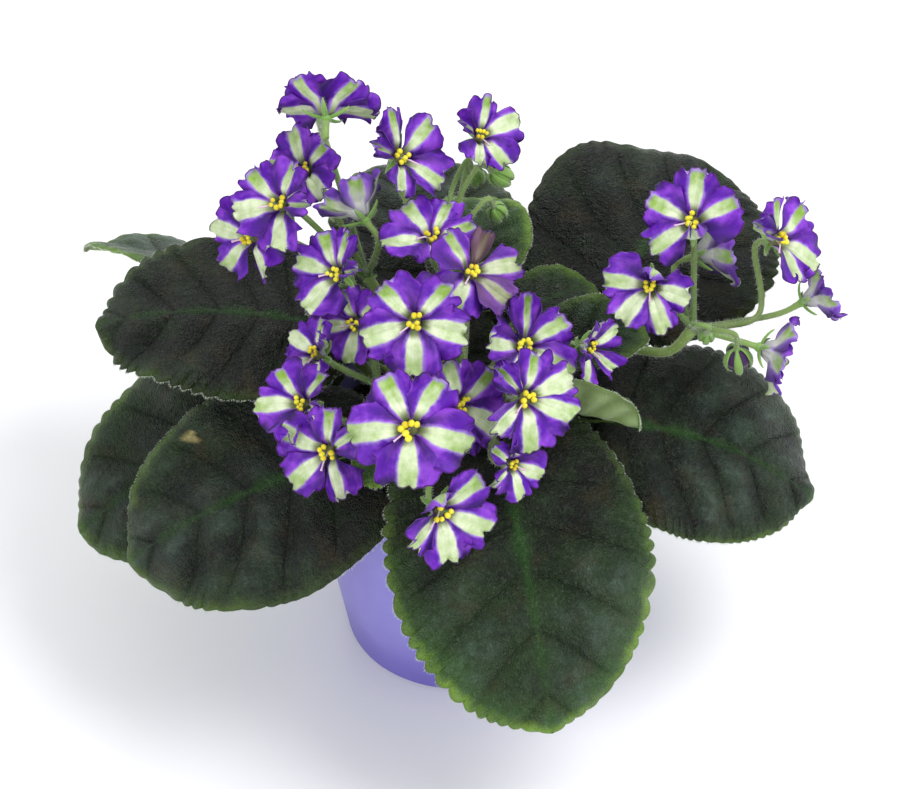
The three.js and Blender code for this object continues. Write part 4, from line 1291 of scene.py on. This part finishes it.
def addCalyx(shape, bloom, rng):
    axes = bloom["axes"]
    centre = bloom["place"] - axes[2] * (bloomBody["throatDepth"] + 0.9)
    scale = min(1.1, bloom["size"] / 29)
    radius, count = stalkBody["calyxRadius"] * scale, stalkBody["sepals"]
    radii = (radius, radius, stalkBody["calyxHeight"])
    addBlob(shape, centre - axes[2] * 0.2, axes, radii, 1, rows=7, sides=stalkBody["sides"])
    length, width, curl = stalkBody["sepalLength"] * scale, stalkBody["sepalWidth"], stalkBody["sepalCurl"]
    for i in range(count):
        # the sepals stand between the petals
        out = inPlane(axes, radians(bloom["lobes"][0] + (i + 0.5) * 360 / count + rng.uniform(-8, 8)))
        addSepal(shape, centre + out * 0.9 * scale, out, axes[2], length, width, curl, rng)


def addPedicel(shape, points, radius, rng, count):
    line = curveThrough(points, count)
    share = np.linspace(0, 1, len(line))
    radii = radius * (1 + 0.25 * smooth(share, 0.9, 1.0) + 0.2 * (1 - smooth(share, 0, 0.12)))
    addTube(shape, line, radii, stalkBody["sides"], 0, tone=(rng.uniform(0, 0.2), 0))
    growStemHairs(shape, line, radii, stalkBody["hairsPerMm"], stalkBody["hairLength"], rng)


def addBud(shape, bud, rng):
    # the bud and its sepals, which hug it and close at its end unless it is half open
    place, size, down, halfOpen = bud["place"], bud["size"], bud["down"], bud["halfOpen"]
    side = unit(np.cross(down, [0.3, 0.9, 0.1]))
    axes = np.stack([side, np.cross(down, side), down])
    radius = size * stalkBody["budRadius"]
    middle = place + down * size * 0.05
    skin = 3 if halfOpen else 1
    addBlob(shape, middle, axes, (radius, radius, size * 0.46), skin, tone=(0.5, 0.35), rows=12, sides=20)
    t = np.linspace(0, 1, 16)[:, None]
    u = np.linspace(-1, 1, 7)[None]
    polar = t * pi * (0.82 if halfOpen else 0.95)
    swell = 1.1 + 0.06 * (1 - u ** 2)
    spread = u * (0.30 if halfOpen else 0.42) * np.sin(pi * (0.1 + 0.86 * t)) ** 0.7
    ring = radius * np.sin(polar) * swell
    drop = size * 0.47 * np.cos(polar) * swell
    for i in range(stalkBody["sepals"]):
        out = inPlane(axes, i * 2 * pi / stalkBody["sepals"] + rng.uniform(-0.1, 0.1))
        across = np.cross(down, out)
        around = (ring * np.cos(spread))[..., None] * out + (ring * np.sin(spread))[..., None] * across
        grid = middle + around - drop[..., None] * down
        addSheet(shape, grid, stalkBody["budThickness"], pair(spread, t) / 20, (0.5, 0), (0, 0), (1, 1, 1))
        inner = grid[2:-2].reshape(-1, 3)[::2]
        addSepalHairs(shape, inner, unit(inner - place), rng)
    addBlob(shape, place - down * size * 0.4, axes, (1.2, 1.2, 0.9), 1, rows=6, sides=10)


def makeStalk(spray, seed):
    rng = np.random.default_rng(seed)
    shape = newShape()
    thin = stalkBody["pedicelRadius"]
    feet = [(*spray["foot"], crown["top"] + height) for height in (-3, stalkBody["upright"])]
    addPedicel(shape, [*feet, *spray.get("way", ()), spray["fork"]], stalkBody["radius"], rng, 36)
    for bloom in spray["blooms"]:
        backs = (stalkBody["standOff"], bloomBody["throatDepth"] + 1.2)
        ends = [bloom["place"] - bloom["axes"][2] * back for back in backs]
        addPedicel(shape, [spray["fork"], *bloom["by"], *ends], thin, rng, 26)
        addCalyx(shape, bloom, rng)
    for bud in spray.get("buds", ()):
        end = bud["place"] - bud["down"] * bud["size"] * 0.42
        addPedicel(shape, [spray["fork"], *bud["by"], end], thin * 0.85, rng, 24)
        addBud(shape, bud, rng)
    for side in (-1, 1):  # a pair of small bracts at the fork
        out = unit(np.array([side * 0.8, rng.uniform(-0.6, 0.6), 0.3]))
        forward = unit(np.cross(out, [0.0, 1.0, 0.0]) * side)
        form = (stalkBody["bractLength"], stalkBody["bractWidth"], stalkBody["bractCurl"])
        addSepal(shape, np.array(spray["fork"], float), out, forward, *form, rng)
    buildPiece("stalk_" + spray["name"] + "_stems", shape, stalkSkins, ("stalk_" + spray["name"],))


# floor and light
stage = {
    "floor": rgb(250, 250, 252), "thread": rgb(214, 214, 222), "floorHalf": 6.0, "world": 0.74, "key": 10.5,
    "keySize": 0.85, "back": 4.0, "front": 12.0, "softSize": 1.0,
}


def makeFloor():
    size = stage["floorHalf"]
    mesh = bpy.data.meshes.new("studioFloor")
    corners = [(-size, -size, 0), (size, -size, 0), (size, size, 0), (-size, size, 0)]
    mesh.from_pydata(corners, [], [(0, 1, 2, 3)])
    floor = bpy.data.objects.new("studioFloor", mesh)
    bpy.context.collection.objects.link(floor)
    material, tree, shader = newMaterial("paleCloth", roughness=0.9)
    paint(shader, mix(noise(objectPlace(tree), 900.0, 2.0) * 0.06, stage["floor"], stage["thread"]))
    mesh.materials.append(material)


def addLamp(name, place, target, size, power):
    data = bpy.data.lights.new(name, "AREA")
    data.shape = "DISK"
    data.size = size
    data.energy = power
    lamp = bpy.data.objects.new(name, data)
    bpy.context.collection.objects.link(lamp)
    lamp.location = place
    toward = np.subtract(target, place)
    tilt = acos(-toward[2] / np.linalg.norm(toward))
    lamp.rotation_euler = (tilt, 0, atan2(toward[1], toward[0]) - pi / 2)


def makeLight():
    scene = bpy.context.scene
    scene.world = bpy.data.worlds.new("softStudio")
    scene.world.use_nodes = True
    background = next(n for n in scene.world.node_tree.nodes if n.type == "BACKGROUND")
    background.inputs[0].default_value = (1.0, 1.0, 1.02, 1)
    background.inputs[1].default_value = stage["world"]
    addLamp("keyLight", (0.7, -0.12, 1.25), (0, 0, 0.08), stage["keySize"], stage["key"])
    addLamp("backLight", (-0.15, 1.25, 1.05), (0, 0, 0.08), stage["softSize"], stage["back"])
    addLamp("frontLight", (-0.7, -1.6, 1.1), (0, 0, 0.05), stage["softSize"], stage["front"])
    scene.view_settings.view_transform = "Standard"
    scene.view_settings.look = "None"


makeCamera()
makePot()
makeSoil()
makeCrown()
print("pot, soil and crown made")
for number, leaf in enumerate(leaves):
    makeLeaf(leaf, 100 + 7 * number)
print("leaves made")
for number, spray in enumerate(sprays):
    makeStalk(spray, 500 + number)
    for place, bloom in enumerate(spray["blooms"]):
        makeBloom(bloom, f"bloom_{spray['name']}_{place + 1}", 700 + 20 * number + place)
print("stalks and blooms made")
makeFloor()
makeLight()
